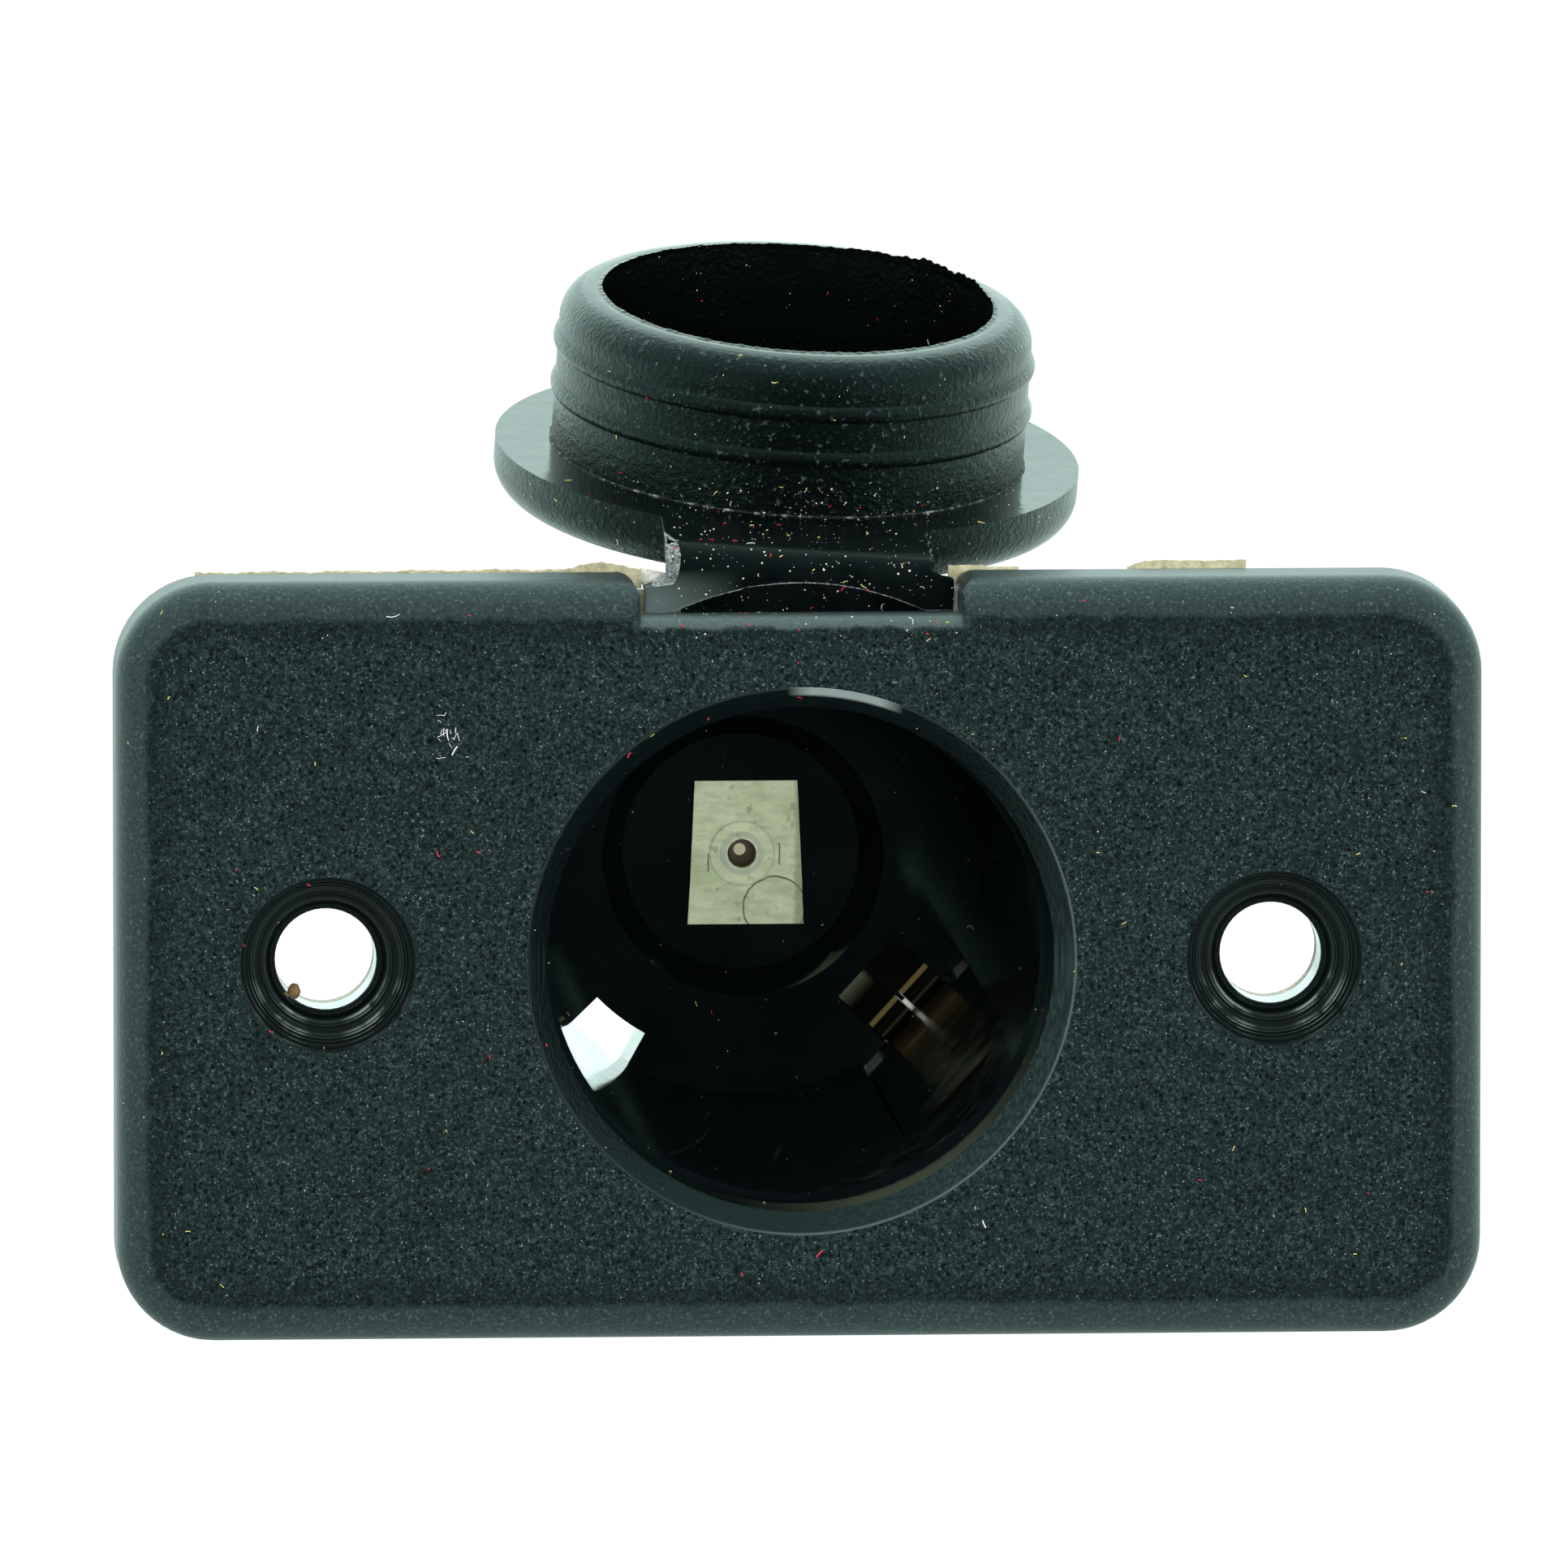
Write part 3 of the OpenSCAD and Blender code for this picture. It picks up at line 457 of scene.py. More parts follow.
def plated_strip():
    """The ground strip: plating whose colour is painted dark as a reflection of the dark bore, with painted
    golden highlights and painted glints where it is bent, and a painted sheen on its foot.
    """
    n = Nodes(bpy.data.materials.new("plated_strip"))
    where = n.place()
    y = n.split(where)[1]
    out = n.dot(where, (math.cos(GROUND_ANGLE), 0, math.sin(GROUND_ANGLE)))
    across = n.dot(where, (-math.sin(GROUND_ANGLE), 0, math.cos(GROUND_ANGLE)))
    rolled = n.noise(n.stretched(where, (1.0, 0.06, 1.0)), 4200, 3)
    cloud = n.noise(where, 520, 3)

    def band(value, centre, half):
        return n.line(n.math("SUBTRACT", value, centre * MM), half, 0.5)

    foot = n.times(n.math("GREATER_THAN", y, 35.6 * MM), n.math("LESS_THAN", out, 10.4 * MM))
    painted_sheen = n.times(n.span(out, 8.4 * MM, 7.6 * MM), n.span(across, -0.1 * MM, -0.4 * MM), foot)
    painted_gold = n.times(foot, n.most(band(out, 9.5, 0.16), n.times(band(out, 10.2, 0.1), 0.4)))
    corners = n.times(n.math("GREATER_THAN", y, 33.4 * MM), band(n.math("ABSOLUTE", across), 2.85, 0.6))
    painted_white_glints = n.most(corners, n.times(foot, band(across, 0.0, 0.16), band(out, 9.95, 0.6)))
    # Painted reflection: the plating is painted dark like the bore it mirrors
    base = n.mix(n.span(cloud, 0.35, 0.7), (0.014, 0.014, 0.011), (0.030, 0.028, 0.020))
    # Painted sheen on part of the foot
    base = n.mix(painted_sheen, base, (0.085, 0.10, 0.065))
    # Painted highlights: golden bands along the bend
    base = n.mix(painted_gold, base, (0.15, 0.115, 0.045))
    # Painted glints: white at the ears' corners and on the slit at the bend
    base = n.mix(painted_white_glints, base, (0.80, 0.82, 0.70))
    metallic = n.span(n.most(painted_gold, painted_white_glints, painted_sheen), 0, 1, 0.92, 0.1)
    rough = n.span(cloud, 0.3, 0.7, 0.12, 0.22)
    return finish_material(n, base, rough, rolled, 0.006, metallic=metallic)


def terminal_brass():
    n = Nodes(bpy.data.materials.new("terminal_brass"))
    where = n.place()
    rolled = n.noise(n.stretched(where, (1.0, 0.1, 1.0)), 2600, 3)
    cloud = n.noise(where, 260, 3)
    base = n.mix(n.span(cloud, 0.3, 0.75), (0.62, 0.47, 0.22), (0.74, 0.60, 0.33))
    rough = n.span(cloud, 0.3, 0.7, 0.26, 0.42)
    return finish_material(n, base, rough, rolled, 0.01, metallic=1.0)


def torn_line():
    """A thin line of flash, pale where it is torn."""
    n = Nodes(bpy.data.materials.new("torn_line"))
    torn = n.span(n.noise(n.place(), 1700, 4, 0.7), 0.52, 0.64)
    return finish_material(n, n.mix(torn, (0.008, 0.012, 0.012), (0.24, 0.27, 0.26)), 0.5)


def lint(name, colour):
    """Fluff and dust: a plain matt fibre."""
    n = Nodes(bpy.data.materials.new(name))
    shade = n.span(n.noise(n.place(), 3000, 2), 0.3, 0.7)
    return finish_material(n, n.mix(shade, tuple(0.7 * part for part in colour), colour), 0.8)


materials = {
    "grained_plastic": grained_plastic(), "glossy_plastic": glossy_plastic(), "cap_rubber": cap_rubber(),
    "strap_rubber": strap_rubber(), "cut_rubber_painted_light": cut_rubber_painted_light(), "shaded_rubber": shaded_rubber(),
    "white_foam": white_foam(), "beige_liner": beige_liner(), "plated_contact": plated_contact(),
    "plated_strip": plated_strip(), "terminal_brass": terminal_brass(), "torn_line": torn_line(),
    "dust": lint("dust", (0.62, 0.64, 0.58)), "pale_lint": lint("pale_lint", (0.7, 0.74, 0.72)),
    "red_lint": lint("red_lint", (0.55, 0.03, 0.06)), "yellow_lint": lint("yellow_lint", (0.62, 0.55, 0.2)),
    "brown_lint": lint("brown_lint", (0.19, 0.13, 0.055)),
}
DRESS = {
    "faceplate": "grained_plastic", "socket_barrel": "glossy_plastic", "strap_ring": "strap_rubber",
    "plug_cap": "cap_rubber", "foam_gasket": "white_foam", "gasket_liner": "beige_liner",
    "centre_contact": "plated_contact", "centre_rivet": "plated_contact", "ground_contact": "plated_strip",
    "centre_washer": "terminal_brass", "centre_terminal": "terminal_brass",
    "ground_terminal": "terminal_brass",
}
for name, material in DRESS.items():
    slots = nodes[name].material_slots
    for slot in slots:
        slot.material = materials[material]
    if not slots:
        nodes[name].data.materials.append(materials[material])


# Helpers for the added pieces


def mesh_piece(name, points, faces, body, material, smooth=True):
    """A piece from points in millimetres, riding on a body if one is given."""
    mesh = bpy.data.meshes.new(name)
    mesh.from_pydata([[c * MM for c in p] for p in points], [], faces)
    mesh.materials.append(materials[material])
    mesh.validate()
    if smooth:
        mesh.polygons.foreach_set("use_smooth", [True] * len(mesh.polygons))
    piece = bpy.data.objects.new(name, mesh)
    scene.collection.objects.link(piece)
    if body:
        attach(piece, body)
    return piece


def blend_with_strap(piece):
    """Bakes a piece's transform into its mesh."""
    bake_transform(piece)


def clamped(value):
    return min(1.0, max(0.0, value))


def ripple(s, seed):
    """Ragged value from about -1 to 1 along a length in millimetres."""
    slow, quick, fine = math.sin(1.9 * s + seed), math.sin(5.3 * s + 2 * seed), math.sin(13.7 * s + 3 * seed)
    return 0.45 * slow + 0.3 * quick + 0.25 * fine


def ribbon(name, rows, body, material):
    """A band through rows of four corners each, closed at both ends."""
    points = [corner for row in rows for corner in row]
    faces = [(0, 1, 2, 3)]
    for i in range(len(rows) - 1):
        a, b = 4 * i, 4 * i + 4
        faces += [(a + k, b + k, b + (k + 1) % 4, a + (k + 1) % 4) for k in range(4)]
    last = 4 * (len(rows) - 1)
    faces.append((last + 3, last + 2, last + 1, last))
    return mesh_piece(name, points, faces, body, material, smooth=False)


# The strap's bend, from the cap's strap down to the ring's legs in the notch

# The path gives y and z of its front, and the second list how much deeper its back lies
BEND_PATH = [
    (0.05, 18.475), (-0.95, 18.28), (-1.95, 18.085), (-2.90, 17.91), (-3.60, 17.77), (-4.06, 17.49),
    (-4.30, 17.06), (-4.37, 16.58), (-4.28, 16.10), (-4.08, 15.62), (-3.88, 15.20), (-3.79, 14.96),
    (-3.78, 14.70),
]
BEND_BACK = [0.03, 0.04, 0.05, 0.06, 0.12, 0.42, 0.66, 0.66, 0.52, 0.30, 0.10, 0.015, 0.01]
STRAP_HALF = 5.77
LEGS_HALF = 6.69
CUT_DEPTH = 0.62
WINDOW_R = 12.0
WINDOW_TOP = 16.38
WINDOW_SINK = 0.42
WINDOW_SHADE = 0.78
WINDOW_END = 0.88

# Steps of its mesh: across, and down above and below the window's lip
BEND_ACROSS = 84
BEND_ABOVE = 60
BEND_BELOW = 16


def along(values, t):
    """Smooth value at t from 0 to 1 along a list of numbers or points."""
    steps = len(values) - 1
    i = min(int(t * steps), steps - 1)
    f = t * steps - i
    a, b, c, d = (values[max(0, min(steps, i + k))] for k in (-1, 0, 1, 2))

    def curve(p, q, r, s):
        square, cube = 2 * p - 5 * q + 4 * r - s, 3 * q - p - 3 * r + s
        return 0.5 * (2 * q + (r - p) * f + square * f * f + cube * f ** 3)

    if isinstance(a, tuple):
        return tuple(curve(*part) for part in zip(a, b, c, d))
    return curve(a, b, c, d)


def bend_edge(side, t, where):
    """Half width of the strap's bend at t: front or back corner of its left (-1) or right (1) side."""
    z = along(BEND_PATH, t)[1]
    strap = STRAP_HALF
    if side < 0 and where == "front":
        strap -= CUT_DEPTH * math.sin(math.pi * clamped((t - 0.2) / 0.52)) ** 0.8
    if side > 0:
        strap += 0.05 * math.sin(t * 61) + 0.04 * math.sin(t * 143 + 1)
    top, fall = (16.24, 0.16) if side < 0 else (16.95, 0.45)
    widened = clamped((top - z) / fall) if t > 0.3 else 0.0
    return strap + (LEGS_HALF - strap) * widened * widened * (3 - 2 * widened)


def bend_point(c, t, sink, where):
    """The bend's surface at c from -1 to 1 across and t from 0 to 1 down, sunk below its front."""
    y, z = along(BEND_PATH, t)
    ya, za = along(BEND_PATH, max(0.0, t - 0.01))
    yb, zb = along(BEND_PATH, min(1.0, t + 0.01))
    length = math.hypot(yb - ya, zb - za)
    inward = (-(zb - za) / length, (yb - ya) / length)
    x = c * bend_edge(-1 if c < 0 else 1, t, where)
    # The open cap is twisted, so the bend's upper end is too
    twist = 1 - clamped((t - 0.36) / 0.34) ** 0.8
    lean_y, lean_z = -0.0138 * x * twist, -0.0605 * x * twist
    return Vector((x, y + lean_y + inward[0] * sink, z + lean_z + inward[1] * sink))


def window_edge(c):
    """How far down the bend its arched window starts, at c across."""
    t = 0.45
    while t < WINDOW_END:
        x, _, z = bend_point(c, t, 0, "front")
        if z <= WINDOW_TOP - WINDOW_R + math.sqrt(max(0.0, WINDOW_R ** 2 - x * x)):
            return t
        t += 0.002
    return WINDOW_END


def bend_column(c):
    """The bend's front and back points at c across: strap, lip of the window, and the sunk window."""
    front, back = [], []
    edge = window_edge(c)
    opening = clamped((WINDOW_END - edge) / 0.05)

    def add(t, sink, depth):
        front.append(bend_point(c, t, sink, "front"))
        back.append(bend_point(c, t, max(along(BEND_BACK, t), depth), "back"))

    for j in range(BEND_ABOVE + 1):
        add(edge * j / BEND_ABOVE, 0, 0.01)
    for gap, sink in ((0.004, -0.035), (0.012, -0.03), (0.016, 0.02)):
        add(edge + gap, sink * opening, (WINDOW_SINK + 0.08) * opening + 0.01)
    for j in range(BEND_BELOW + 1):
        t = edge + 0.018 + (1 - edge - 0.018) * j / BEND_BELOW
        fade = min(1.0, (1 - t) / 0.06)
        sink = WINDOW_SINK * opening * fade * (0.8 + 0.2 * math.sin(math.pi * j / BEND_BELOW))
        add(t, sink, sink + 0.06 * opening)
    return front, back


def strap_bend():
    """The bend's piece: its cut left side and the window's lip are ragged and carry a painted highlight, and
    the window is shaded.
    """
    columns = [bend_column(-1 + 2 * i / BEND_ACROSS) for i in range(BEND_ACROSS + 1)]
    front = [point for column in columns for point in column[0]]
    back = [point for column in columns for point in column[1]]
    rows, shift = len(columns[0][0]), len(front)
    faces, sides, lips, shaded = [], [], [], []
    for i in range(BEND_ACROSS):
        for j in range(rows - 1):
            a, b = i * rows + j, (i + 1) * rows + j
            if j == BEND_ABOVE + 1:
                lips.append(len(faces))
            if j > BEND_ABOVE + 1 and abs(2 * i / BEND_ACROSS - 1) < WINDOW_SHADE:
                shaded.append(len(faces))
            faces.append((a, a + 1, b + 1, b))
            faces.append((a + shift, b + shift, b + 1 + shift, a + 1 + shift))
    for j in range(rows - 1):
        if 0.2 < j / BEND_ABOVE < 0.74:
            sides.append(len(faces))
        faces.append((j, j + shift, j + 1 + shift, j + 1))
    for j in range(rows - 1):
        a = BEND_ACROSS * rows + j
        faces.append((a, a + 1, a + 1 + shift, a + shift))
    for i in range(BEND_ACROSS):
        a, b = i * rows, (i + 1) * rows
        faces.append((a, b, b + shift, a + shift))
    for i in range(BEND_ACROSS):
        a, b = i * rows + rows - 1, (i + 1) * rows + rows - 1
        faces.append((a, a + shift, b + shift, b))
    piece = mesh_piece("strap_bend", front + back, faces, None, "strap_rubber")
    piece.data.materials.append(materials["cut_rubber_painted_light"])
    piece.data.materials.append(materials["shaded_rubber"])
    for index in sides + lips:
        piece.data.polygons[index].material_index = 1
    for index in shaded:
        piece.data.polygons[index].material_index = 2
    for index in sides:
        piece.data.polygons[index].use_smooth = False
    return piece


bend = strap_bend()
blend_with_strap(bend)


# The liner's torn edge and the foam's torn corner

LINER_FRONT = -0.24
LINER_BACK = -0.03
LINER_HIDDEN_Z = 15.7
FOLD_START = -7.3
FOLD_WIDTH = 1.9


def liner_edge(name, start, end, step, inner, outer):
    """A strip of torn liner behind the plate: inner and outer give the two edges at s along it."""
    rows = []
    for i in range(int(abs(end - start) / step) + 1):
        s = start + math.copysign(i * step, end - start)
        a, b = inner(s), outer(s)
        rows.append([(a[0], LINER_FRONT, a[1]), (b[0], LINER_FRONT, b[1]),
                     (b[0], LINER_BACK, b[1]), (a[0], LINER_BACK, a[1])])
    ribbon(name, rows, "root", "beige_liner")


def hidden_edge(s):
    """The inner edge of the strips along the plate's top, which the plate hides."""
    return (s, LINER_HIDDEN_Z)


def top_left_edge(s):
    """The torn edge along the plate's top at its left, highest beside the notch."""
    height = 16.49 + 0.06 * ripple(s, 1.0) + 0.05 * min(1.0, (s + 26) / 15)
    if s > -9.6:
        height += 0.3 * math.sin(math.pi * clamped((s + 9.6) / 2.5)) ** 0.7
    return (s, height)


def top_right_edge(s):
    return (s + 0.1 * ripple(s, 5), 16.5 + 0.27 * min(1, (s - 14.4) / 0.8) + 0.03 * ripple(s, 2))


def near_notch_edge(s):
    return (s, 16.53 + 0.03 * ripple(s, 3) + 0.1 * clamped((8.5 - s) / 0.3))


def foam_fold():
    """A pale torn corner of the foam, beside the strap's cut side."""
    rows = []
    steps = 30
    for i in range(steps + 1):
        s = FOLD_START + FOLD_WIDTH * i / steps
        high = 16.66 - 0.17 * (s - FOLD_START) + 0.02 * ripple(s, 8)
        low = min(high - 0.05, 16.5 - 0.9 * min(1.0, s - FOLD_START) + 0.4 * max(0.0, (s + 6.3) / 0.9))
        rows.append([(s, -0.02, low), (s, -0.02, high), (s, 0.1, high), (s, 0.1, low)])
    ribbon("foam_fold", rows, "root", "white_foam")


liner_edge("liner_top_left", -26.0, -6.62, 0.06, hidden_edge, top_left_edge)
liner_edge("liner_top_right", 14.5, 19.7, 0.06, hidden_edge, top_right_edge)
liner_edge("liner_top_near_notch", 6.7, 9.8, 0.06, hidden_edge, near_notch_edge)
liner_edge("liner_left", -4.0, 6.0, 0.08,
           lambda s: (-28.9, s), lambda s: (-29.57 + 0.04 * abs(ripple(s, 4)), s))
liner_edge("liner_notch_right", 14.4, 15.68, 0.05,
           lambda s: (7.7, s), lambda s: (6.5 + 0.09 * ripple(s, 6), s))
liner_edge("liner_notch_left", 14.4, 15.68, 0.05,
           lambda s: (-7.7, s), lambda s: (-6.35 + 0.06 * ripple(s, 7), s))
foam_fold()


# The cap's moulding flash


def cap_point(radius, angle, level):
    """A point round the cap's axis: the angle starts at its right and turns over its far side."""
    outward = CAP_RIGHT * math.cos(angle) + CAP_FAR * math.sin(angle)
    return CAP_CENTRE + CAP_AXIS * level + outward * radius


def rim_flash():
    """Ragged moulding flash round the mouth of the cap's skirt, tallest at the back right."""
    rows = []
    steps = 720
    tallest, spread = 38, 30
    for i in range(steps):
        angle = 2 * math.pi * i / steps
        s = SKIRT_IN * angle
        aside = (math.degrees(angle) + 180) % 360 - 180 - tallest
        tall = math.exp(-(aside / spread) ** 2)
        near = 0.5 - 0.5 * math.sin(angle)
        rise = 0.02 + 0.05 * abs(ripple(s, 2.2)) + tall * (0.26 + 0.15 * ripple(s, 0.7))
        lean = 0.02 + near * (0.12 + 0.05 * ripple(s, 4.1))
        rows.append([
            cap_point(SKIRT_IN - 0.01, angle, SKIRT_TALL - 0.2),
            cap_point(SKIRT_IN - 0.01 - lean, angle, SKIRT_TALL + rise),
            cap_point(SKIRT_IN + 0.03 - lean, angle, SKIRT_TALL + rise),
            cap_point(SKIRT_IN + 0.15, angle, SKIRT_TALL - 0.01),
        ])
    ribbon("rim_flash", rows + [rows[0]], "cap", "cap_rubber")


def base_flash():
    """The thin torn line where the skirt meets the flange."""
    rows = []
    steps = 900
    for i in range(steps):
        angle = 2 * math.pi * i / steps
        torn = max(0.0, 0.5 + 0.6 * ripple(1.7 * SKIRT_OUT * angle, 1.3))
        out = SKIRT_OUT + 0.01 + 0.05 * torn
        rows.append([
            cap_point(SKIRT_OUT - 0.1, angle, -0.02),
            cap_point(out, angle, -0.01),
            cap_point(out - 0.02, angle, 0.03 + 0.05 * torn),
            cap_point(SKIRT_OUT - 0.1, angle, 0.05 + 0.03 * torn),
        ])
    ribbon("skirt_base_flash", rows + [rows[0]], "cap", "torn_line")


rim_flash()
base_flash()


# Dust and fluff. Lengths are in millimetres, and places are in pixels of the photograph.

# Areas: left, top, right and bottom
WHOLE_PLATE = (150, 715, 1810, 1640)
PLATE_TOP = (150, 715, 1810, 760)
FLANGE = (620, 590, 1320, 700)
SKIRT = (700, 300, 1270, 640)
STRAP = (825, 600, 1160, 740)
LEDGE = (800, 745, 1185, 790)
BORE = (690, 880, 1310, 1500)

# What lies there: area, size of the specks, and how many specks, red bits and yellow bits
DUST = (
    (WHOLE_PLATE, 1.0, 520, 16, 30),
    (PLATE_TOP, 1.1, 110, 2, 2),
    (FLANGE, 1.2, 260, 6, 12),
    (SKIRT, 1.1, 240, 8, 10),
    (STRAP, 1.7, 190, 9, 12),
    (LEDGE, 1.3, 60, 7, 3),
    (BORE, 1.0, 60, 3, 4),
)

# Fibres that stand out: place, length, thickness, curl and kind
FIBRES = (
    ((540, 1052), 0.3, 0.03, 0.8, "red_lint"),
    ((590, 1050), 0.2, 0.03, 0.4, "red_lint"),
    ((1010, 1545), 0.4, 0.035, 0.5, "red_lint"),
    ((775, 930), 0.3, 0.03, 0.9, "red_lint"),
    ((380, 1090), 0.25, 0.03, 0.2, "red_lint"),
    ((300, 1165), 0.25, 0.03, 0.4, "red_lint"),
    ((1040, 725), 0.35, 0.03, 1.2, "red_lint"),
    ((1064, 722), 0.3, 0.03, 0.4, "yellow_lint"),
    ((1209, 644), 0.35, 0.03, 0.7, "yellow_lint"),
    ((700, 592), 0.3, 0.025, 0.5, "yellow_lint"),
    ((925, 670), 0.45, 0.02, 1.9, "pale_lint"),
    ((760, 668), 0.35, 0.02, 1.2, "pale_lint"),
    ((1090, 748), 0.5, 0.016, 2.6, "pale_lint"),
    ((1122, 765), 0.45, 0.016, -2.0, "pale_lint"),
    ((484, 758), 0.6, 0.02, 1.0, "pale_lint"),
    ((552, 905), 0.5, 0.03, 0.5, "pale_lint"),
    ((560, 925), 0.45, 0.035, -0.4, "pale_lint"),
    ((318, 898), 0.25, 0.018, 0.6, "pale_lint"),
    ((1213, 1508), 0.35, 0.035, 0.4, "pale_lint"),
    ((360, 1222), 0.35, 0.05, 1.2, "brown_lint"),
    ((352, 1226), 0.25, 0.05, -0.9, "brown_lint"),
    ((208, 860), 0.15, 0.03, 0.3, "yellow_lint"),
    ((158, 915), 0.15, 0.03, 0.2, "yellow_lint"),
    ((388, 941), 0.16, 0.03, 0.2, "yellow_lint"),
)
SCRATCH = (553, 905)
SCRATCH_FIBRES = 16


def surface(piece):
    corners = [piece.matrix_world @ v.co for v in piece.data.vertices]
    return BVHTree.FromPolygons(corners, [tuple(p.vertices) for p in piece.data.polygons])


# Surfaces that dust settles on, with the body that each one rides on
SURFACES = [(surface(nodes[name]), body) for name, body in (
    ("faceplate", "root"), ("socket_barrel", "root"), ("ground_contact", "root"), ("centre_contact", "root"),
    ("plug_cap", "cap"))]
SURFACES.append((surface(bend), "strap"))


def hit(px, py):
    """The first surface under a place in the photograph: its point, normal and body."""
    scale = FRAME_WIDTH / FRAME_PIXELS
    target = AIM + RIGHT * (px - FRAME_PIXELS / 2) * scale + UP * (FRAME_PIXELS / 2 - py) * scale
    direction = (target - EYE).normalized()
    best = None
    for tree, body in SURFACES:
        point, normal, _, distance = tree.ray_cast(EYE, direction)
        if point is not None and (best is None or distance < best[3]):
            best = (point / MM, normal if normal.dot(direction) < 0 else -normal, body, distance)
    return best[:3] if best else None


def directions(normal):
    """Two directions along a surface."""
    a = normal.orthogonal().normalized()
    return a, normal.cross(a)


class Scatter:
    """Collects many small bits of one material, and makes one piece of them for each body."""

    def __init__(self, name, slot, rng):
        self.name, self.slot, self.rng = name, slot, rng
        self.parts = {}

    def part(self, body):
        return self.parts.setdefault(body, ([], []))

    def speck(self, point, normal, body, radius):
        """A low irregular grain with six sides."""
        points, faces = self.part(body)
        a, b = directions(normal)
        first = len(points)
        turn = self.rng.uniform(0, 6.28)
        for k in range(6):
            r = radius * self.rng.uniform(0.6, 1.2)
            angle = turn + k * math.pi / 3
            points.append(point + (a * math.cos(angle) + b * math.sin(angle)) * r - normal * 0.01)
        points.append(point + normal * radius * 0.6)
        faces.extend((first + k, first + (k + 1) % 6, first + 6) for k in range(6))

    def fibre(self, point, normal, body, length, thick, curl):
        """A bent hair of three sides that lies on the surface."""
        points, faces = self.part(body)
        a, b = directions(normal)
        angle = self.rng.uniform(0, 6.28)
        steps = 8
        spot = point.copy()
        spine = []
        for _ in range(steps + 1):
            spine.append(spot.copy())
            spot += (a * math.cos(angle) + b * math.sin(angle)) * length / steps
            angle += curl / steps
        middle = (spine[0] + spine[-1]) / 2 - point
        first = len(points)
        for k, centre in enumerate(spine):
            ahead = (spine[min(k + 1, steps)] - spine[max(k - 1, 0)]).normalized()
            wide = ahead.cross(normal)
            centre = centre - middle + normal * thick * 0.6
            for turn in (0, 2.094, 4.189):
                points.append(centre + (wide * math.cos(turn) + normal * math.sin(turn)) * thick)
        for k in range(steps):
            for j in range(3):
                p, q = first + 3 * k + j, first + 3 * k + (j + 1) % 3
                faces.append((p, q, q + 3, p + 3))
        last = first + 3 * steps
        faces.append((first, first + 1, first + 2))
        faces.append((last + 2, last + 1, last))

    def build(self):
        for body, (points, faces) in sorted(self.parts.items()):
            rides = None if body == "strap" else body
            name = f"{self.name}_{body}"
            piece = mesh_piece(name, points, faces, rides, self.name, smooth=False)
            if body == "strap":
                blend_with_strap(piece)


def burr():
    """A brown crumb stuck on the wall of the left screw hole."""
    rng = random.Random(7)
    middle = Vector((-21.86, -3.15, -1.42))
    radius, long_y, long_z = 0.28, 1.3, 1.25
    points, faces = [], []
    rings, turns = 7, 12
    for i in range(rings + 1):
        tilt = math.pi * i / rings
        for k in range(turns):
            angle = 2 * math.pi * k / turns
            r = radius * rng.uniform(0.86, 1.1)
            round_x, round_z = math.sin(tilt) * math.cos(angle), math.sin(tilt) * math.sin(angle)
            points.append(middle + Vector((round_x, long_y * math.cos(tilt), long_z * round_z)) * r)
    for i in range(rings):
        for k in range(turns):
            a, b = i * turns + k, i * turns + (k + 1) % turns
            faces.append((a, b, b + turns, a + turns))
    last = rings * turns
    faces += [tuple(range(turns)), tuple(range(last + turns - 1, last - 1, -1))]
    mesh_piece("burr", points, faces, "root", "brown_lint")


def settle_dust():
    rng = random.Random(41)
    heaps = {name: Scatter(name, slot, rng) for name, slot in (
        ("dust", "white_foam"), ("pale_lint", "white_foam"), ("red_lint", "beige_liner"),
        ("yellow_lint", "beige_liner"), ("brown_lint", "beige_liner"))}
    for (left, top, right, bottom), size, specks, reds, yellows in DUST:
        for _ in range(specks):
            found = hit(rng.uniform(left, right), rng.uniform(top, bottom))
            radius = size * (0.016 + 0.03 * rng.random() ** 3)
            if found:
                heaps["dust"].speck(*found, radius)
        for kind, count in (("red_lint", reds), ("yellow_lint", yellows)):
            for _ in range(count):
                found = hit(rng.uniform(left, right), rng.uniform(top, bottom))
                length, curl = rng.uniform(0.08, 0.24), rng.uniform(-1.5, 1.5)
                if found:
                    heaps[kind].fibre(*found, length, 0.022, curl)
    for place, length, thick, curl, kind in FIBRES:
        found = hit(*place)
        if found:
            heaps[kind].fibre(*found, length, thick, curl)

    # Fine pale fibres along the slanted scratch at the upper left
    for _ in range(SCRATCH_FIBRES):
        px = rng.gauss(SCRATCH[0], 9)
        found = hit(px, SCRATCH[1] + 1.4 * (px - SCRATCH[0]) + rng.gauss(0, 14))
        if found:
            heaps["pale_lint"].fibre(*found, rng.uniform(0.15, 0.5), 0.013, rng.uniform(-0.5, 0.5))
    for heap in heaps.values():
        heap.build()


burr()
settle_dust()


# Camera, floor, world and lamps


def place_camera():
    camera = bpy.data.objects.new("camera", bpy.data.cameras.new("camera"))
    scene.collection.objects.link(camera)
    scene.camera = camera
    camera.data.sensor_width = SENSOR_WIDTH
    camera.data.lens = SENSOR_WIDTH * DISTANCE / FRAME_WIDTH
    camera.data.clip_start = 0.05
    camera.location = EYE
    camera.rotation_mode = "QUATERNION"
    camera.rotation_quaternion = FORWARD.to_track_quat("-Z", "Y")


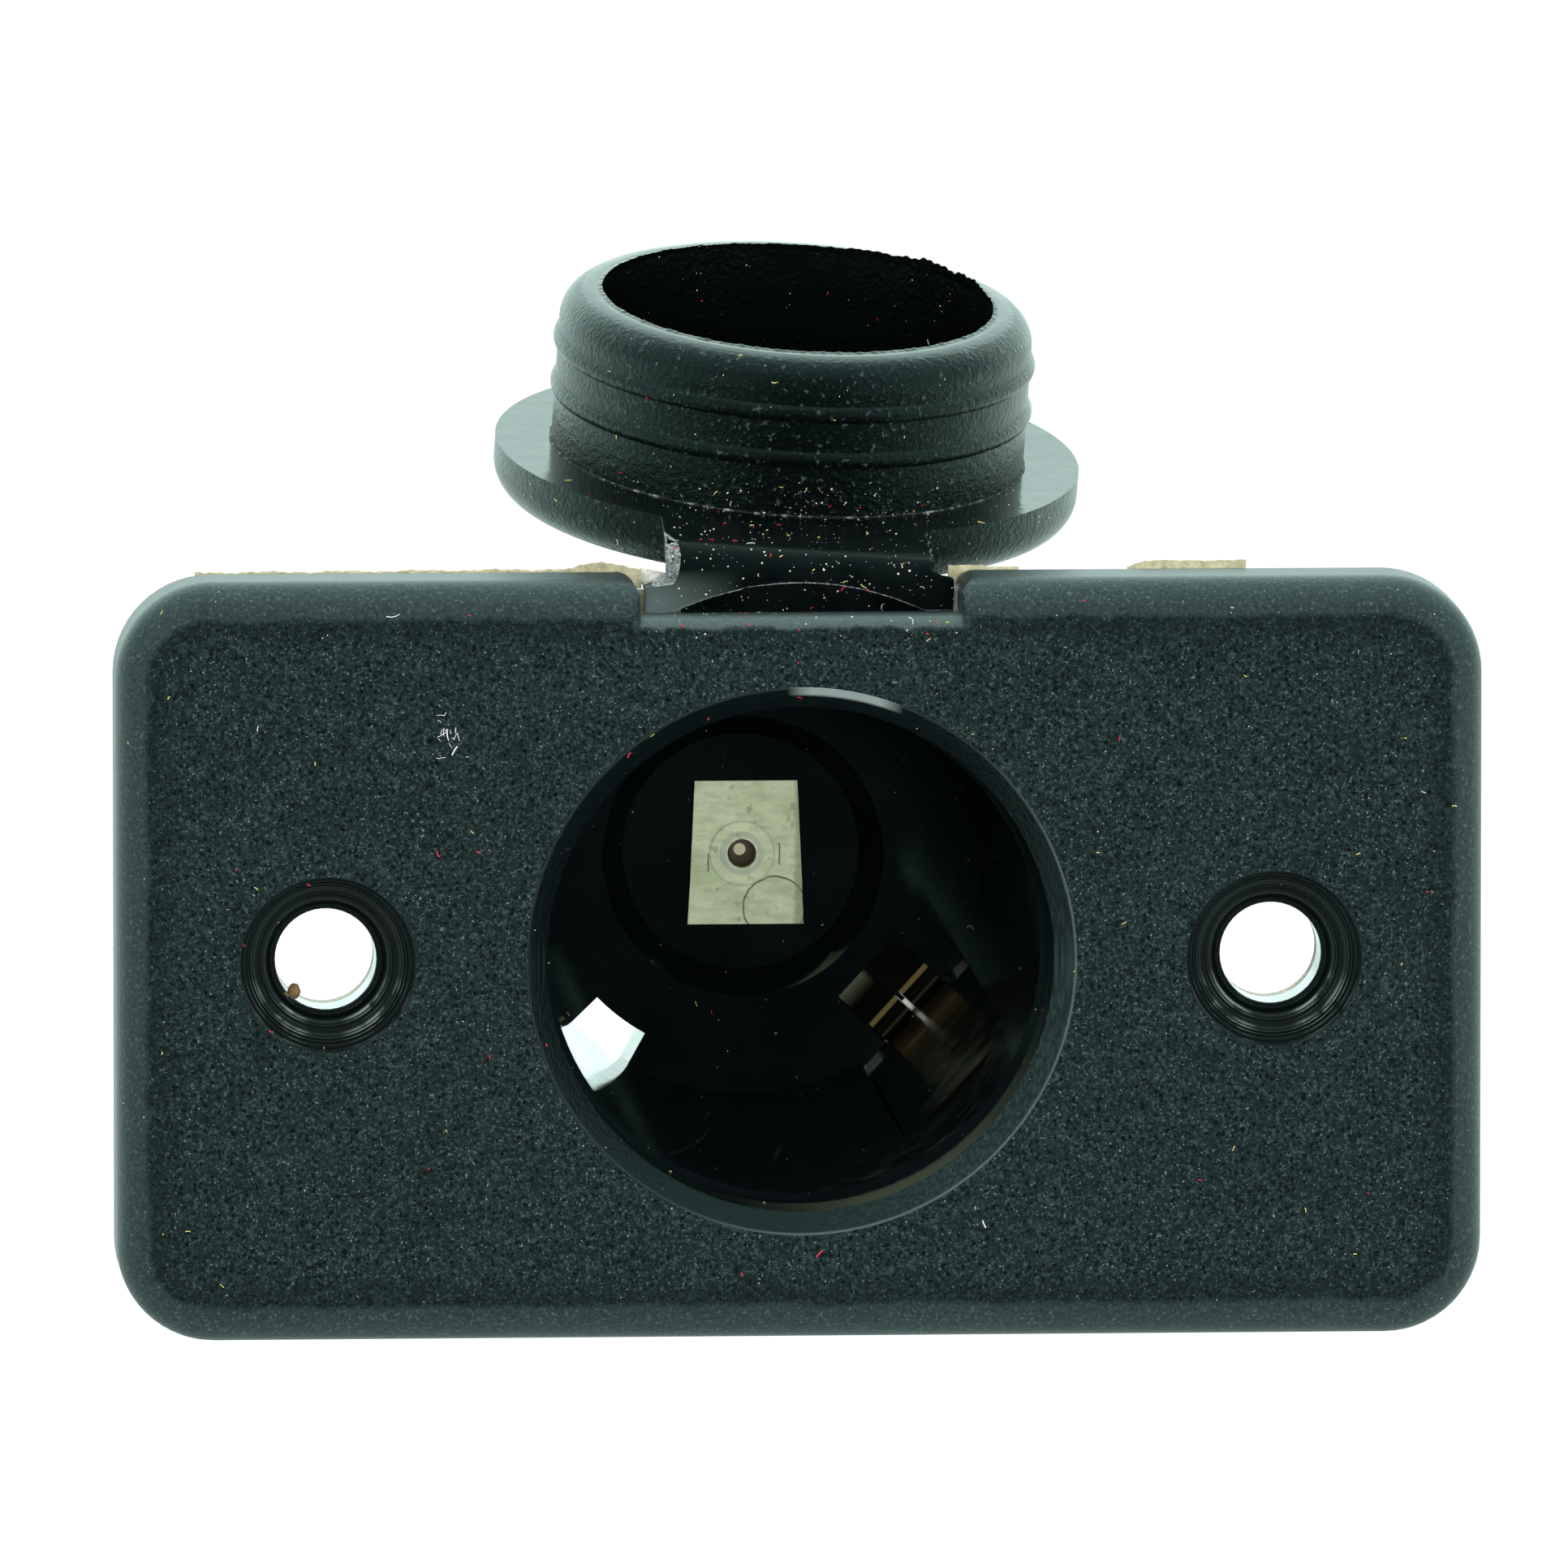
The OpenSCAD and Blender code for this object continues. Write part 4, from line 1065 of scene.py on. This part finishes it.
def floor_material():
    """White to the camera, and a ground that holds the shadow.

    Mirrored rays see it white behind the part and pale on both sides, since the room in front is dim.
    """
    n = Nodes(bpy.data.materials.new("floor"))
    path = n.add("ShaderNodeLightPath").outputs
    mirrored = path["Is Glossy Ray"]
    seen = n.most(path["Is Camera Ray"], mirrored, path["Is Transmission Ray"])
    x, y, _ = n.split(n.place())
    bright = n.most(n.span(y, -0.10, 0.15, 0.02, 1.5), n.span(n.math("ABSOLUTE", x), 0.08, 0.45, 0.0, 0.9))
    level = n.between(mirrored, 1.1, bright)
    tint = n.mix(mirrored, (1, 1, 1), ROOM_TINT)
    share = n.most(n.times(seen, 0.9), mirrored)
    dull = n.add("ShaderNodeBsdfDiffuse", {"Color": (0.82, 0.82, 0.82)})
    pale = n.add("ShaderNodeEmission", {"Color": tint, "Strength": level})
    both = n.add("ShaderNodeMixShader", {0: share, 1: dull.outputs[0], 2: pale.outputs[0]})
    n.set(n.add("ShaderNodeOutputMaterial").inputs[0], both.outputs[0])
    return n.owner


def lay_floor():
    mesh = bpy.data.meshes.new("floor")
    corners = [(-4, -4, FLOOR_Z), (4, -4, FLOOR_Z), (4, 6, FLOOR_Z), (-4, 6, FLOOR_Z)]
    mesh.from_pydata(corners, [], [(0, 1, 2, 3)])
    mesh.materials.append(floor_material())
    floor = bpy.data.objects.new("floor", mesh)
    scene.collection.objects.link(floor)


def room():
    """A world that is white to the camera.

    Mirrored rays see the white backdrop behind, paler walls above and on both sides, and a dim room in front.
    """
    n = Nodes(bpy.data.worlds.new("world"))
    path = n.add("ShaderNodeLightPath").outputs
    clear = n.most(path["Is Camera Ray"], path["Is Transmission Ray"])
    x, y, z = n.split(n.add("ShaderNodeTexCoord").outputs["Generated"])
    level = 0.012
    for toward, strength in ((n.span(y, -0.15, 0.85), 2.1), (n.most(z, 0.0), 0.7), (x, 0.6)):
        level = n.math("MULTIPLY_ADD", n.times(toward, toward), strength, level)
    level = n.between(clear, n.between(path["Is Glossy Ray"], 0.3, level), 1.0)
    tint = n.mix(path["Is Glossy Ray"], (1, 1, 1), ROOM_TINT)
    background = n.add("ShaderNodeBackground", {"Color": tint, "Strength": level})
    n.set(n.add("ShaderNodeOutputWorld").inputs[0], background.outputs[0])
    return n.owner


def lamp(name, where, size, watts):
    """A lamp aimed at the part, for matt surfaces alone: mirrored rays don't see it."""
    data = bpy.data.lights.new(name, "AREA")
    data.shape = "RECTANGLE"
    data.size, data.size_y = size
    data.energy = watts
    light = bpy.data.objects.new(name, data)
    scene.collection.objects.link(light)
    light.location = where
    light.rotation_mode = "QUATERNION"
    light.rotation_quaternion = (-Vector(where)).to_track_quat("-Z", "Y")
    light.visible_glossy = False


place_camera()
lay_floor()
scene.world = room()
lamp("front", (0.02, -1.0, 0.1), (0.12, 0.12), 6.5)
lamp("key", (-0.42, -0.45, 0.55), (0.5, 0.5), 3.5)
lamp("top", (0.05, 0.12, 0.7), (0.7, 0.4), 6.0)
lamp("side", (0.6, -0.35, 0.2), (0.25, 0.4), 2.0)

scene.view_settings.view_transform = "Standard"
